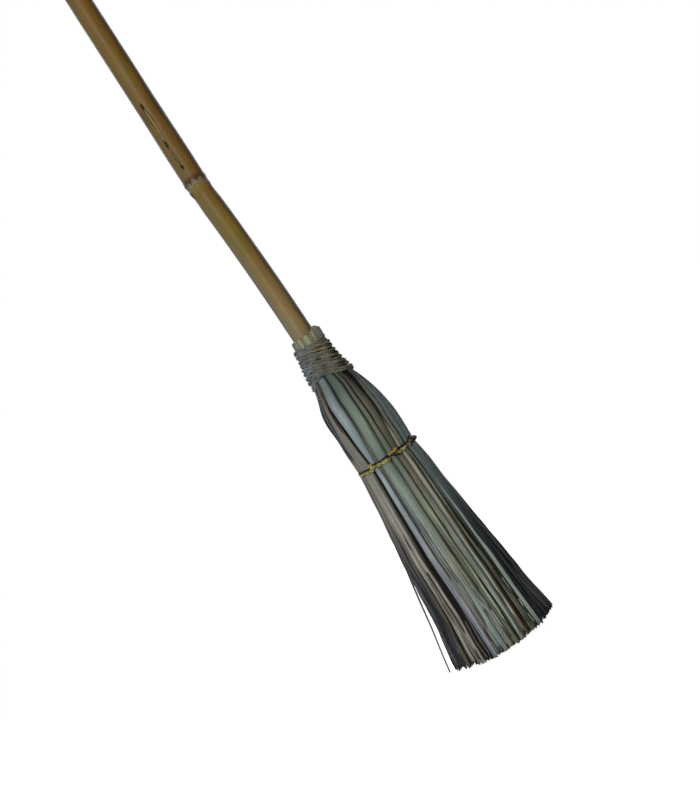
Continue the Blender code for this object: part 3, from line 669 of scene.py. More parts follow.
@dataclass(frozen=True)
class CaneHandle:
    """The hollow cane: two nodes, a bow below the first, a crack above it and a sawn end."""

    radius: float = 11.65 * MM
    bore: float = 8.25 * MM
    foot: float = 300 * MM
    top: float = 1150 * MM
    nodes: tuple = (559 * MM, 851 * MM)
    knee: float = 5.7 * MM
    leans: tuple = (0.010, -0.004)
    columns: int = 150
    close: int = 60  # how many of the columns stand near the crack
    crack_bearing: float = math.radians(249)
    pits: tuple = (  # the crack's pits: height, place across, half their height and half their width
        (651, -0.6, 3.0, 1.2), (606, -0.4, 3.8, 1.1), (578.5, 0.9, 2.1, 1.25))
    bud_degrees: float = 196
    bells: tuple = ((2.6, 3.0, 0.62), (0.2, 0.9, -0.10), (-13, 8.0, -0.60), (34, 26, 0.30))
    greens: tuple = (  # green patches: height, half their height, bearing in degrees and strength
        (692, 20, 258, 0.5), (492, 26, 270, 0.6), (530, 40, 262, 0.25), (588, 12, 284, 0.4),
        (1010, 40, 90, 0.6))

    def middle(self, height: np.ndarray) -> np.ndarray:
        """Give the sideways place of the cane's middle: a bow, then two straight leans.

        Args:
            height: heights in metres.

        Returns:
            The x of the middle at each height.
        """
        rise = self.nodes[0] - COLLAR_TOP
        share = np.clip((height - COLLAR_TOP) / rise, 0, 1)
        above = np.clip(height, *self.nodes) - self.nodes[0]
        higher = np.maximum(height - self.nodes[1], 0)
        return NECK_MIDDLE - self.knee * share**2 + self.leans[0] * above + self.leans[1] * higher

    def rows(self) -> tuple[np.ndarray, np.ndarray]:
        """Give the profile: up the outside, over the sawn end, down the bore and back to the foot.

        Returns:
            The height and the base radius of each row.
        """
        spans = (
            (self.foot, 0.545, 70), (0.545, 0.574, 70), (0.574, 0.660, 150), (0.660, 0.838, 40),
            (0.838, 0.866, 56))
        cuts = [np.linspace(*span, endpoint=False) for span in spans]
        outside = np.concatenate((*cuts, np.linspace(0.866, self.top - 0.9 * MM, 60)))
        septum = self.nodes[1] + 2 * MM
        low = self.nodes[0] - 2 * MM
        rim = self.radius - np.array([0.15, 0.5, 0.9]) * MM
        rim_heights = self.top - np.array([0.35, 0.1, 0.0]) * MM
        bore = [self.bore + 0.2 * MM, self.bore, self.bore, self.bore, 0.4 * self.bore, 0]
        bore_heights = [self.top, self.top - 0.3 * MM, 1.0, septum + 1 * MM, septum, septum]
        under = [0, 0.4 * self.bore, self.bore, self.bore, self.bore]
        under_heights = [low, low, low - 1 * MM, 0.45, self.foot]
        heights = np.concatenate((under_heights, outside, rim_heights, bore_heights))
        radii = np.concatenate((under, np.full(len(outside), self.radius), rim, bore))
        return heights, radii

    def bearings(self) -> np.ndarray:
        """Give the bearings of the columns, which stand closer together near the crack.

        Returns:
            One more bearing than there are columns; the last closes the ring.
        """
        reach = 0.42
        near = np.linspace(-reach, reach, self.close, endpoint=False)
        far = np.linspace(reach, TAU - reach, self.columns - self.close + 1)
        return self.crack_bearing + np.concatenate((near, far))

    def ring_waver(self, bearing: np.ndarray, number: int) -> np.ndarray:
        """Give how far a node's ring rises, in millimetres: a slight saddle with small waves on it."""
        return 0.35 * np.sin(3 * bearing + number) - 0.5 * np.cos(2 * bearing)

    def scar_foot(self, bearing: np.ndarray) -> np.ndarray:
        """Give how far the sheath's scar lies under the node, in millimetres: least at front and back."""
        return -1.7 - np.minimum(7 * np.cos(bearing) ** 2, 4.0)

    def node_relief(self, height: np.ndarray, bearing: np.ndarray) -> np.ndarray:
        """Give how far the surface stands out at the nodes.

        Each node has a sharp sheath scar, a softer ridge above it and a slight waist between and
        below; bells of those widths are added at their heights, wavering a little round the cane.

        Args:
            height, bearing: the grid.

        Returns:
            The distance out, of the grid's shape.
        """
        out = np.zeros_like(height)
        for number, node in enumerate(self.nodes):
            at = (height - node) / MM - self.ring_waver(bearing, number)
            out += 0.40 * bell(at, self.scar_foot(bearing), 1.3)
            for middle, width, tall in self.bells:
                out += tall * bell(at, middle, width)
        scar = bell(height, self.nodes[0] - 9 * MM, 3.2 * MM) * toward(bearing, self.bud_degrees, 22)
        return (out + 0.9 * scar) * MM

    def crack_lines(self, height: np.ndarray, bearing: np.ndarray) -> tuple[np.ndarray, ...]:
        """Give how deep the crack is, how much painted shade darkens it, and where the pale sliver between
        its lines is.

        Two lines part at the upper pit, pass round a sliver and meet at the middle pit; one line
        goes on to the lowest pit. Each line is a bell of the distance across it.

        Args:
            height, bearing: the grid.

        Returns:
            The depth in metres, the share of painted shade in its lines and pits, and the sliver's share.
        """
        z = height / MM
        aside = (bearing - self.crack_bearing) * self.radius / MM
        knots = (579, 590, 604, 612, 628, 636, 648, 653)
        left = np.interp(z, knots, (0.4, -0.5, -0.6, -0.9, -1.3, -1.3, -1.1, -0.5))
        right = np.interp(z, knots, (0.9, 1.5, 1.4, 1.9, 2.2, 2.0, 0.6, -0.2))
        ends = ease(z, 577, 580) * ease(z, 654, 651)
        lowest = 0.3 * ease(z, 604, 596)
        strong = np.clip(0.45 + 0.65 * ease(z, 624, 630) + lowest, 0, 1)
        fading = np.clip(0.45 + 0.55 * ease(z, 628, 638) + lowest, 0, 1)
        lines = np.maximum(bell(aside, left, 0.44) * strong, bell(aside, right, 0.42) * fading) * ends
        pits = np.zeros_like(z)
        for at, side, tall, wide in self.pits:
            pits += 1.1 * np.exp(-(((z - at) / tall) ** 4)) * bell(aside, side, wide)
        between = ease(aside, left, left + 0.8) * ease(aside, right, right - 0.8)
        sliver = between * ends * (0.35 + 0.65 * ease(z, 628, 640) + 0.5 * ease(z, 590, 584))
        depth = (0.75 * lines + 1.3 * np.minimum(pits, 1)) * MM
        return depth, np.clip(lines * 0.85 + pits, 0, 1), sliver

    def tones(self, height: np.ndarray, bearing: np.ndarray) -> np.ndarray:
        """Give the skin's colour before its grain: olive to yellow down the cane, with its marks, a partly
        painted highlight stripe and painted shade at both sides.

        Args:
            height, bearing: the grid.

        Returns:
            Linear colours.
        """
        z = height / MM
        skin = blend_tones(Tone.CANE_UPPER, Tone.CANE_MIDDLE, ease(z, 575, 500))
        skin = blend_tones(skin, Tone.CANE_LOWER, ease(z, 490, 375))
        left = toward(bearing, 182, 1.6)
        skin = blend_tones(skin, Tone.CANE_SIDE, left * (0.3 + 0.5 * ease(z, 640, 400)))
        for at, tall, degrees, strength in self.greens:
            patch = bell(z, at, tall) * toward(bearing, degrees, 5)
            skin = blend_tones(skin, Tone.CANE_GREEN, strength * patch)
        smudge = bell(z, 643, 13) * toward(bearing, 322, 14)
        rust = bell(z, 640, 10) * toward(bearing, 222, 16)
        skin = blend_tones(skin, Tone.CANE_BROWN, 0.75 * smudge + 0.4 * rust)
        # A paler stripe down the front-left, where the key light falls: partly the skin's own colour and
        # partly a painted highlight; between the nodes its tint makes it warmer and less blue.
        pale = toward(bearing, 257, 30)
        skin = skin * (1 + 0.14 * pale - 0.05 * toward(bearing, 296, 8))[..., None]
        painted_highlight_tint = pale**0.4 * ease(z, 620, 500) * ease(z, 370, 440)
        skin = skin * (1 - painted_highlight_tint[..., None] * np.array([0.07, 0.10, 0.26]))
        rusty = toward(bearing, 290, 9) * ease(z, 330, 480)
        skin = skin * (1 + rusty[..., None] * np.array([0.22, 0.10, 0.0]))
        # Painted shade: the front's right side is blended towards a dark brown, and the far left edge is
        # darkened.
        across = np.cos(bearing) + 0.05 * ripple(z / 60, np.random.default_rng(30), 3)
        painted_right_shade = ease(across, 0.52, 0.9) * ease(np.sin(bearing), 0.75, 0.1)
        skin = blend_tones(skin, Tone.CANE_PAINTED_SHADE, 0.78 * painted_right_shade)
        skin = skin * (1 - 0.35 * ease(-across, 0.86, 1.0))[..., None]
        return self.node_tones(skin, z, bearing)

    def node_tones(self, skin: np.ndarray, z: np.ndarray, bearing: np.ndarray) -> np.ndarray:
        """Add each node's marks: a pale scalloped bloom with brown rims, a brown and a young band; the bloom
        and the young band are painted fainter on the right, as painted shade.

        Args:
            skin: the colours without them.
            z: heights in millimetres.
            bearing: the grid's bearings.

        Returns:
            Linear colours.
        """
        rng = np.random.default_rng(31)
        pale = Tone.CANE_BLOOM.light() * np.array([0.86, 0.92, 0.98])
        # Painted shade: the bloom and the young band fade on the right side, away from the light.
        painted_lit = 0.45 + 0.55 * ease(np.cos(bearing), 0.75, 0.35)
        arc = np.abs(np.sin(5 * bearing + 0.52))
        for number, node in enumerate(self.nodes):
            at = z - node / MM - self.ring_waver(bearing, number)
            over = at - self.scar_foot(bearing)
            edge = 0.2 + 3.2 * arc**0.8 + 0.5 * ripple(bearing / TAU, rng, 3, 5)
            rims = bell(at, edge, 0.6) + 0.5 * bell(at, edge - 2.4 * arc, 0.5)
            seams = bell(arc, 0, 0.2) * ease(at, -2.6, 0.8) * ease(at, 5.5, 3.8)
            young = ease(over, -9, -2.5) * ease(over, 0.2, -0.8) * painted_lit
            bloom = ease(over, -1.2, 0.6) * ease(at, edge + 0.6, edge - 0.6) * painted_lit
            skin = blend_tones(skin, Tone.CANE_YOUNG, 0.6 * young)
            skin = blend_tones(skin, Tone.CANE_BROWN, 0.82 * ease(at, 10, 4) * ease(at, 0.2, 2.4))
            skin = blend_tones(skin, pale, 0.7 * bloom)
            skin = blend_tones(skin, Tone.CANE_BROWN, np.clip(0.5 * rims + 0.7 * seams, 0, 0.8))
        scar = bell(z, self.nodes[0] / MM - 9, 3.4) * toward(bearing, self.bud_degrees, 18)
        return blend_tones(skin, Tone.CANE_SCAR, 0.85 * np.clip(scar, 0, 1))

    def build(self) -> None:
        """Turn the profile round the bowed middle, carve the nodes and the crack, and dress it."""
        heights, radii = self.rows()
        height, bearing = np.meshgrid(heights, self.bearings(), indexing="ij")
        outer = (radii > self.bore + 0.3 * MM)[:, None] & (height < self.top - 0.5 * MM)
        radius = np.broadcast_to(radii[:, None], height.shape).copy()
        depth, dark, sliver = self.crack_lines(height, bearing)
        radius += np.where(outer, self.node_relief(height, bearing) - depth, 0)
        rng = np.random.default_rng(5)
        oval = 0.12 * MM * np.sin(2 * bearing + 1.3) + 0.08 * MM * ripple(height * 4, rng, 3)
        radius += np.where(outer, oval, 0)
        x = self.middle(height) + radius * np.cos(bearing)
        points = np.stack([x, radius * np.sin(bearing), height], -1)
        skin = self.tones(height, bearing)
        skin = blend_tones(skin, Tone.CANE_BLOOM, 0.75 * np.clip(sliver, 0, 1))
        # Painted shade darkens the crack's lines and pits.
        skin = blend_tones(skin, Tone.CRACK_PAINTED_SHADE, dark)
        inside = Tone.CANE_INSIDE.light()
        skin = np.where(outer[..., None], skin, inside)
        uv = np.stack([bearing * self.radius, np.cumsum(np.abs(np.gradient(height, axis=0)), 0)], -1)
        patch = Patchwork()
        patch.add(points[None], uv[None], skin[None])
        piece = patch.build("cane", merge=True)
        settle(piece, CaneFinish().make(), "cane", "cane_handle")


# Leaves


LEVELS = (0, 226, 262, 288, 312, 352)  # floor, stitching, belly, hip, neck and collar, in millimetres


@dataclass(frozen=True)
class Strip:
    """One split end of a leaf: where its sides end at the floor, as shares, and its tone there."""

    left: float
    right: float
    tone: Tone
    sunk: float = 0.0  # in millimetres, behind its neighbours below the stitching


@dataclass(frozen=True)
class LeafPlan:
    """Where one leaf lies from the collar to the stitching, as shares of the half width."""

    collar: tuple[float, float]
    neck: tuple[float, float]
    hip: tuple[float, float]
    belly: tuple[float, float]
    stitch: tuple[float, float]
    tone: Tone
    strips: tuple[Strip, ...]
    lift: float = 0.0  # in millimetres, out of the head's outline
    sink: float = 0.0  # in millimetres, into the head above the stitching


@dataclass(frozen=True)
class Straw:
    """The narrowest part that a leaf splits into."""

    sides: tuple[np.ndarray, np.ndarray]  # each side's bearings at the levels
    parts: float  # the height at which its first side leaves the straw before it
    top: np.ndarray  # its colour above the stitching
    low: np.ndarray  # its colour below
    sunk: float


FRONT_PLANS = (
    LeafPlan((-0.955, -0.86), (-0.955, -0.91), (-0.955, -0.928),
        (-0.955, -0.925), (-0.955, -0.90), Tone.GREY_TAN, (
        Strip(-0.958, -0.936, Tone.SLATE), Strip(-0.928, -0.885, Tone.SLATE),
        Strip(-0.869, -0.818, Tone.BLUE_VIOLET, 0.4)), 0.2, 0.3),
    LeafPlan((-0.86, -0.62), (-0.9, -0.81), (-0.905, -0.736),
        (-0.915, -0.706), (-0.89, -0.606), Tone.WARM_GREY, (
        Strip(-0.803, -0.733, Tone.OLIVE_BROWN, 0.4), Strip(-0.683, -0.603, Tone.WARM_GREY),
        Strip(-0.596, -0.49, Tone.GREY_TAN), Strip(-0.478, -0.4, Tone.DARK_BROWN, 1.0)), 0.55),
    LeafPlan((-0.62, -0.3), (-0.732, -0.326), (-0.636, -0.292),
        (-0.625, -0.34), (-0.532, -0.38), Tone.BLUISH_WHITE, (
        Strip(-0.365, -0.345, Tone.BROWN, 0.9), Strip(-0.335, -0.279, Tone.LILAC_WHITE),
        Strip(-0.272, -0.221, Tone.LILAC_WHITE)), 0.8),
    LeafPlan((-0.3, -0.22), (-0.309, -0.275), (-0.282, -0.24),
        (-0.336, -0.276), (-0.378, -0.3), Tone.GREY_TAN, (
        Strip(-0.216, -0.201, Tone.BROWN, 1.1), Strip(-0.195, -0.18, Tone.GREY_TAN, 0.5)), 0.1, 1.3),
    LeafPlan((-0.22, 0.12), (-0.223, 0.193), (-0.214, 0.145),
        (-0.265, 0.066), (-0.289, 0.044), Tone.SAGE, (
        Strip(-0.173, -0.108, Tone.PALE_GREEN), Strip(-0.1, -0.042, Tone.PALE_GREEN),
        Strip(-0.035, 0.021, Tone.GREY_TAN, 0.4), Strip(0.028, 0.083, Tone.PALE_SAGE)), 0.7),
    LeafPlan((0.12, 0.28), (0.249, 0.399), (0.185, 0.319),
        (0.104, 0.242), (0.066, 0.262), Tone.GREY_GREEN, (
        Strip(0.091, 0.137, Tone.OLIVE, 0.3), Strip(0.144, 0.192, Tone.GREY_GREEN)), 0.35),
    LeafPlan((0.28, 0.48), (0.442, 0.601), (0.363, 0.596),
        (0.286, 0.494), (0.276, 0.448), Tone.OLIVE_BROWN, (
        Strip(0.197, 0.208, Tone.DARK_BROWN, 1.0), Strip(0.218, 0.288, Tone.PALE_SAGE)), 0.5),
    LeafPlan((0.48, 0.68), (0.682, 0.725), (0.616, 0.646),
        (0.526, 0.58), (0.456, 0.594), Tone.PALE_TAN, (
        Strip(0.296, 0.352, Tone.PALE_GREEN), Strip(0.361, 0.384, Tone.OCHRE)), 0.2, 2.6),
    LeafPlan((0.69, 0.79), (0.83, 0.878), (0.678, 0.789),
        (0.598, 0.701), (0.602, 0.698), Tone.GREY_GREEN, (
        Strip(0.39, 0.458, Tone.BROWN, 2.1), Strip(0.466, 0.49, Tone.GREY_GREEN),
        Strip(0.496, 0.532, Tone.OLIVE, 0.3)), 0.15, 0.2),
    LeafPlan((0.8, 0.88), (0.885, 0.935), (0.802, 0.935),
        (0.717, 0.868), (0.732, 0.85), Tone.BLUE_GREY, (
        Strip(0.542, 0.593, Tone.DARK_GREEN, 0.5), Strip(0.607, 0.666, Tone.PALE_GREEN)), 0.6),
    LeafPlan((0.88, 0.957), (0.938, 0.957), (0.938, 0.957),
        (0.872, 0.957), (0.868, 0.957), Tone.BLUE_GREY, (
        Strip(0.683, 0.731, Tone.SLATE, 0.5), Strip(0.745, 0.782, Tone.NEAR_BLACK, 0.9),
        Strip(0.799, 0.837, Tone.SLATE, 0.2)), 0.3),
)

BACK_EDGES = (-0.955, -0.735, -0.54, -0.245, 0.09, 0.39, 0.61, 0.82, 0.955)
BACK_STRIPS = (4, 4, 5, 6, 5, 4, 4, 3)
BACK_TONES = (
    Tone.BLUE_GREY, Tone.PALE_SAGE, Tone.WARM_GREY, Tone.SAGE,
    Tone.GREY_TAN, Tone.BLUISH_WHITE, Tone.OLIVE, Tone.BLUE_GREY,
)
STRIP_TONES = (
    Tone.SAGE, Tone.PALE_SAGE, Tone.GREY_TAN, Tone.WARM_GREY, Tone.BLUE_GREY,
    Tone.OLIVE, Tone.LILAC_WHITE, Tone.BROWN, Tone.GREY_GREEN,
)
EDGE_TONES = (Tone.BLUE_VIOLET, Tone.SLATE, Tone.DARK_GREEN, Tone.SLATE, Tone.DARK_BROWN, Tone.OLIVE)
INNER_TONES = (
    Tone.DARK_BROWN, Tone.BROWN, Tone.SLATE, Tone.DARK_GREEN, Tone.OLIVE,
    Tone.BLUE_VIOLET, Tone.GREY_TAN, Tone.OCHRE, Tone.OLIVE_BROWN,
)
LEAF_SLOTS = ("tan_leaf", "blue_grey_leaf", "sage_leaf")


@dataclass(frozen=True)
class LeafGrid:
    """What a leaf's colour is worked out from, as arrays of straws, rows and points across."""

    seen: np.ndarray  # heights, where the tail and the fold count as the collar's top
    bearing: np.ndarray
    loose: np.ndarray  # how free a point is of the next straw, from 0 to 1
    near: np.ndarray  # how far it is from the leaf's own side, in millimetres
    crease: np.ndarray  # 0 in a fold of the collar and 1 between two
    collar: np.ndarray  # 1 on the collar and 0 below


@dataclass(frozen=True)
class LeafMaker:
    """Builds leaves: a tail on the cane, a fold over the collar, a blade, and straws to the floor."""

    thickness: float = 0.42 * MM
    tail_half: float = 12.35 * MM
    tail_rows: int = 8
    fold_height: float = 369.2 * MM
    fold_radius: float = 1.4 * MM
    fold_rows: int = 9
    free_from: float = 22 * MM  # below this each straw has its own length
    straw_width: float = 1.9 * MM
    across: tuple = (0.0, 0.14, 0.5, 0.86, 1.0)
    roll: float = 1.7  # how far a blade's sides curl in, in millimetres
    shadows: tuple = ((0.46, 274, 318), (0.8, 329, 334))  # how much darker upwards, from where to where
    peak_bearing: float = 5.56  # where the collar is highest
    bulge_bearing: float = 6.05  # where the collar stands out most
    dip_bearing: float = 3.50  # where the collar is lowest

    def profile(self) -> np.ndarray:
        """Give each row's middle, half width, half depth and height, down to free_from.

        The fold is a half circle between the tail, just outside the cane, and the neck.

        Returns:
            Rows of four values.
        """
        tail_z = np.linspace(INNER_TOP, self.fold_height, self.tail_rows + 1)[:-1]
        still = np.ones(self.tail_rows)
        tail = np.stack([NECK_MIDDLE * still, self.tail_half * still, self.tail_half * still, tail_z], -1)
        turn = np.linspace(math.pi, 0, self.fold_rows)
        share = (1 + np.cos(turn)) / 2
        half = self.tail_half + 2 * self.fold_radius * share
        fold_z = self.fold_height + 1.2 * self.fold_radius * np.sin(turn)
        fold = np.stack([NECK_MIDDLE + 0.65 * MM * share, half, half, fold_z], -1)
        spans = ((369.2, 318, 22), (318, 226, 28), (226, 190, 10), (190, self.free_from / MM, 30))
        out_z = np.concatenate([np.linspace(*span)[1:] for span in spans]) * MM
        return np.concatenate((tail, fold, np.stack([*HEAD.at(out_z), out_z], -1)))

    def heights(self, profile: np.ndarray, straws: list[Straw], rng: np.random.Generator) -> np.ndarray:
        """Carry the profile's heights down to each straw's own end, ragged and higher at the sides.

        Args:
            profile: the rows that all straws have.
            straws: the leaf's straws in order.
            rng: gives the lengths.

        Returns:
            The heights of each straw's rows.
        """
        count = len(straws)
        side = np.array([straw.sides[0][0] for straw in straws])
        end = (TIP_ARC * np.abs(np.cos(side)) ** TIP_POWER + rng.uniform(0, 3.4, count)) * MM
        end = end + (rng.random(count) < 0.12) * rng.uniform(1, 7, count) * MM
        low = self.free_from + (end[:, None] - self.free_from) * np.linspace(0, 1, 7)[1:]
        return np.concatenate((np.tile(profile[:, 3], (count, 1)), low), 1)

    def borders(self, straws: list[Straw], seen: np.ndarray) -> tuple[np.ndarray, np.ndarray]:
        """Give the bearing of each straw's two sides at each row, and how free that side is.

        Above its split a side is the mean of the two straws' own sides, so that they share it.

        Args:
            straws: the leaf's straws in order.
            seen: the height of each row of each straw.

        Returns:
            Two arrays: straws, two sides and rows.
        """
        own = np.array([
            [np.interp(z / MM, LEVELS, side) for side in straw.sides] for straw, z in zip(straws, seen)])
        parts = np.array([straw.parts for straw in straws])[:, None]
        free = np.zeros_like(own)
        free[1:, 0] = ease(seen[1:], parts[1:], parts[1:] - 60 * MM)
        free[:-1, 1] = free[1:, 0]
        free[0, 0], free[-1, 1] = (ease(seen[n], 222 * MM, 150 * MM) for n in (0, -1))
        shared = (own[:-1, 1] + own[1:, 0]) / 2
        own[:-1, 1] = shared + (own[:-1, 1] - shared) * free[:-1, 1]
        own[1:, 0] = shared + (own[1:, 0] - shared) * free[1:, 0]
        return own, free

    def pleats(self, bearing: np.ndarray) -> tuple[np.ndarray, np.ndarray]:
        """Give the collar's pleats, 0 in a fold and 1 between two, and how far it bulges at the right.

        Args:
            bearing: where each point is.

        Returns:
            The pleats, shallower at the bulge, and the bulge in millimetres.
        """
        pleat = np.abs(np.sin(7.5 * bearing + 0.5 + 0.35 * np.sin(2 * bearing)))
        aside = around(bearing, self.bulge_bearing)
        return 0.7 + (pleat - 0.7) * (1 - 0.85 * bell(aside, 0, 0.55)), 2.4 * bell(aside, 0, 0.36)

    def brim(self, bearing: np.ndarray, crease: np.ndarray, phase: float) -> np.ndarray:
        """Give how much higher than even the collar's top is, in millimetres.

        Args:
            bearing, crease: where each point is, and its pleat.
            phase: of the small waves, from 0 to 1.

        Returns:
            A peak less a dip, and waves that differ from leaf to leaf.
        """
        aside = around(bearing, self.peak_bearing)
        peak = 4.2 * bell(aside, 0, np.where(aside < 0, 0.2, 0.42))
        dip = 2.8 * bell(bearing % TAU, self.dip_bearing, 0.30)
        return peak - dip + 0.5 * np.sin(bearing * 9 + phase * TAU) + 0.8 * (crease - 0.6)

    def sheet(
        self, patch: Patchwork, straws: list[Straw], lift: float, sink: float, rng: np.random.Generator
    ) -> None:
        """Add one leaf as straws that share their sides until each parts from the next.

        Across a straw the bearing runs evenly from side to side. The surface stands out of the
        head by the lift, a slow wave, a crown along each straw and, at the collar, pleats; it
        curls in at the leaf's own sides by a bell of the distance to them. A free straw adds a
        wave and a drift of its own.

        Args:
            patch: what the straws go into.
            straws: the leaf's straws in order.
            lift, sink: out of the outline, and into it above the stitching, in millimetres.
            rng: gives the waver and the lengths.
        """
        profile = self.profile()
        count, over = len(straws), self.tail_rows + self.fold_rows
        each = (count, 1, 1)
        height = self.heights(profile, straws, rng)
        outline = np.stack(HEAD.at(height))[..., None]
        outline[:, :, :over, 0] = profile[:over, :3].T[:, None]
        seen = height.copy()
        seen[:, :over] = COLLAR_TOP
        own, free = self.borders(straws, seen)
        u = np.array(self.across)
        bearing, loose = (side[:, 0, :, None] * (1 - u) + side[:, 1, :, None] * u for side in (own, free))
        seen = seen[..., None]
        down = np.clip((STITCH - seen) / STITCH, 0, 1)
        collar = ease(seen, 345 * MM, 366 * MM)
        blade = 1 - collar
        first, last = own[0, 0][None, :, None], own[-1, 1][None, :, None]
        wide = np.abs(last - first) * (outline[1] + outline[2]) / 2 * 1.08 / MM
        share = (bearing - first) / (last - first)
        near = np.minimum(np.abs(share), np.abs(1 - share)) * wide
        curl = np.minimum(self.roll, 0.38 * wide) * bell(near, 0, 0.85) * ease(seen, 130 * MM, 224 * MM)
        phase = rng.random(6)
        slow = 0.35 * np.sin(TAU * (seen * 9 + phase[0])) + 0.3 * np.sin(TAU * (seen * 21 + phase[1]))
        slow = slow * ease(np.abs(seen - STITCH), 2 * MM, 30 * MM)
        crease, bulge = self.pleats(bearing)
        rise = (lift + slow - sink * ease(seen, 236 * MM, 262 * MM)) * blade
        rise = rise + (0.8 * crease - 0.4 + bulge) * collar
        rise = rise + ((1 - (2 * u - 1) ** 2) * (0.16 + 0.42 * loose) - curl) * blade
        rise = rise - 0.5 * bell(seen, STITCH, 5 * MM)
        turn = [rng.random(each) for _ in range(4)]
        wave = 0.8 * np.sin(TAU * (1.4 * down + turn[0])) + 0.4 * np.sin(TAU * (3.3 * down + turn[1]))
        sunk = np.array([straw.sunk for straw in straws]).reshape(each)
        deeper = sunk * (1 - 0.55 * ease(seen, 45 * MM, 5 * MM)) + rng.uniform(-0.3, 1.2, each) * down
        rise = rise + (wave * ease(down, 0, 0.5) - deeper) * loose
        sway = 0.008 * np.sin(TAU * (1.1 * down + turn[2])) + 0.010 * np.sin(TAU * (0.5 * down + turn[3]))
        bearing = bearing + sway * loose * ease(down, 0.1, 0.8)
        z = np.broadcast_to(height[..., None], bearing.shape).copy()
        z += rng.uniform(-1.8, 1.8, each) * MM * (u - 0.5) * ease(down, 0.93, 1.0)
        z += self.brim(bearing, crease, phase[3]) * MM * ease(z, 350 * MM, 367 * MM)
        points = HEAD.wrap(bearing, *outline, np.maximum(z, 0), rise * MM)
        tone = self.colour(straws, LeafGrid(seen, bearing, loose, near, crease, collar), sink, rng)
        step = np.linalg.norm(np.diff(points.mean(2), axis=1), axis=2)
        along = np.concatenate((np.zeros((count, 1)), np.cumsum(step, 1)), 1)[..., None] + 0 * bearing
        lay = np.stack([(share * wide.mean()) * MM + rng.random(), along], -1)
        patch.add(points, lay, tone)

    def colour(
        self, straws: list[Straw], grid: LeafGrid, sink: float, rng: np.random.Generator
    ) -> np.ndarray:
        """Give each point's colour: the blade's, then the straw's own, cream at the collar, with painted
        shade on sunk parts, at the sides, in the collar's folds, towards the neck and under the lashing, and
        painted light just below the stitching.

        Args:
            straws: the leaf's straws.
            grid: where each point is.
            sink: how far the leaf lies behind its neighbours above the stitching.
            rng: gives each straw its shade.

        Returns:
            Linear colours.
        """
        each = (len(straws), 1, 1)
        seen, blade = grid.seen, 1 - grid.collar
        flat = np.ones_like(grid.bearing)
        top = np.array([straw.top for straw in straws])[:, None, None]
        low = np.array([straw.low for straw in straws])[:, None, None]
        sunk = np.array([straw.sunk for straw in straws]).reshape(each)
        early = np.where(sunk > 1, ease(seen, 225 * MM, 208 * MM), ease(seen, 214 * MM, 92 * MM))
        # Painted light: the blade's tone is lighter just below the stitching, to make up for the shade that
        # falls there.
        paler = 1 + 0.3 * ease(seen, 227 * MM, 196 * MM)
        tone = blend_tones(top * paler[..., None], low, early * flat)
        shade = rng.uniform(0.84, 1.30, each)
        shade = np.where(rng.random(each) < 0.12, shade * 0.5, shade)
        shade = 1.04 + (shade - 1.04) * (0.2 + 0.8 * ease(seen, 214 * MM, 120 * MM))
        # Painted shade: a strip sunk behind its neighbours is darkened below the stitching, one sunk over 2
        # mm only below 128 mm; every straw is also a little darker just above its end.
        begins = np.where(sunk > 2, 128 * MM, 225 * MM)
        sunk_painted_shade = np.clip(sunk / 1.5, 0, 1) * ease(begins - seen, 0, 20 * MM) * ease(seen, 4 * MM, 22 * MM)
        side = np.abs(2 * np.array(self.across) - 1) ** 4
        shade = shade * (1 - 0.88 * sunk_painted_shade) * (1 - 0.2 * ease(seen, 26 * MM, 2 * MM))
        # Darker towards each straw's sides and the leaf's own sides: partly a darker dried margin and partly
        # painted shade in the grooves and gaps between them.
        shade = shade * (1 - 0.16 * side * (ease(seen, 200 * MM, 130 * MM) + grid.loose))
        shade = shade * (1 - 0.5 * bell(grid.near, 0, 0.75) * blade)
        # Painted shade: a sunk leaf is darker above the belly, and every blade towards the neck and under
        # the lashing.
        for dark, start, end in ((0.9 * min(sink / 1.8, 1), 238, 270), *self.shadows):
            shade = shade * (1 - dark * ease(seen, start * MM, end * MM) * blade)
        dip = bell(grid.bearing % TAU, self.dip_bearing, 0.36)
        cream = blend_tones(Tone.CREAM.light(), Tone.WARM_GREY.light() * 0.8, dip)
        grey = bell(around(grid.bearing, self.bulge_bearing - 0.1), 0, 0.5)
        cream = blend_tones(cream, Tone.GREY_TAN.light() * np.array([0.95, 0.9, 0.95]), 0.75 * grey)
        # Painted shade: the cream is darker in the collar's folds, and much darker on the tail and the inner
        # half of the fold, for the shadow between the cane and the collar.
        inside = np.arange(seen.shape[1])[None, :, None] < self.tail_rows + self.fold_rows // 2
        cream = cream * ((0.6 + 0.44 * grid.crease) * np.where(inside, 0.35, 1))[..., None]
        return blend_tones(tone * (shade * flat)[..., None], cream, 0.95 * grid.collar * flat)

    def finish(
        self, patch: Patchwork, name: str, slot: str, material: bpy.types.Material, node: str
    ) -> None:
        """Turn the gathered sheets into one leaf with a real thickness, and dress it.

        Args:
            patch: the sheets.
            name: the piece's name.
            slot: the record's name for its finish.
            material: what it is made of.
            node: the CAD node that it replaces.
        """
        piece = patch.build(name, merge=True)
        wall = piece.modifiers.new("thickness", "SOLIDIFY")
        wall.thickness = self.thickness
        wall.offset = -1
        settle(piece, material, slot, node)


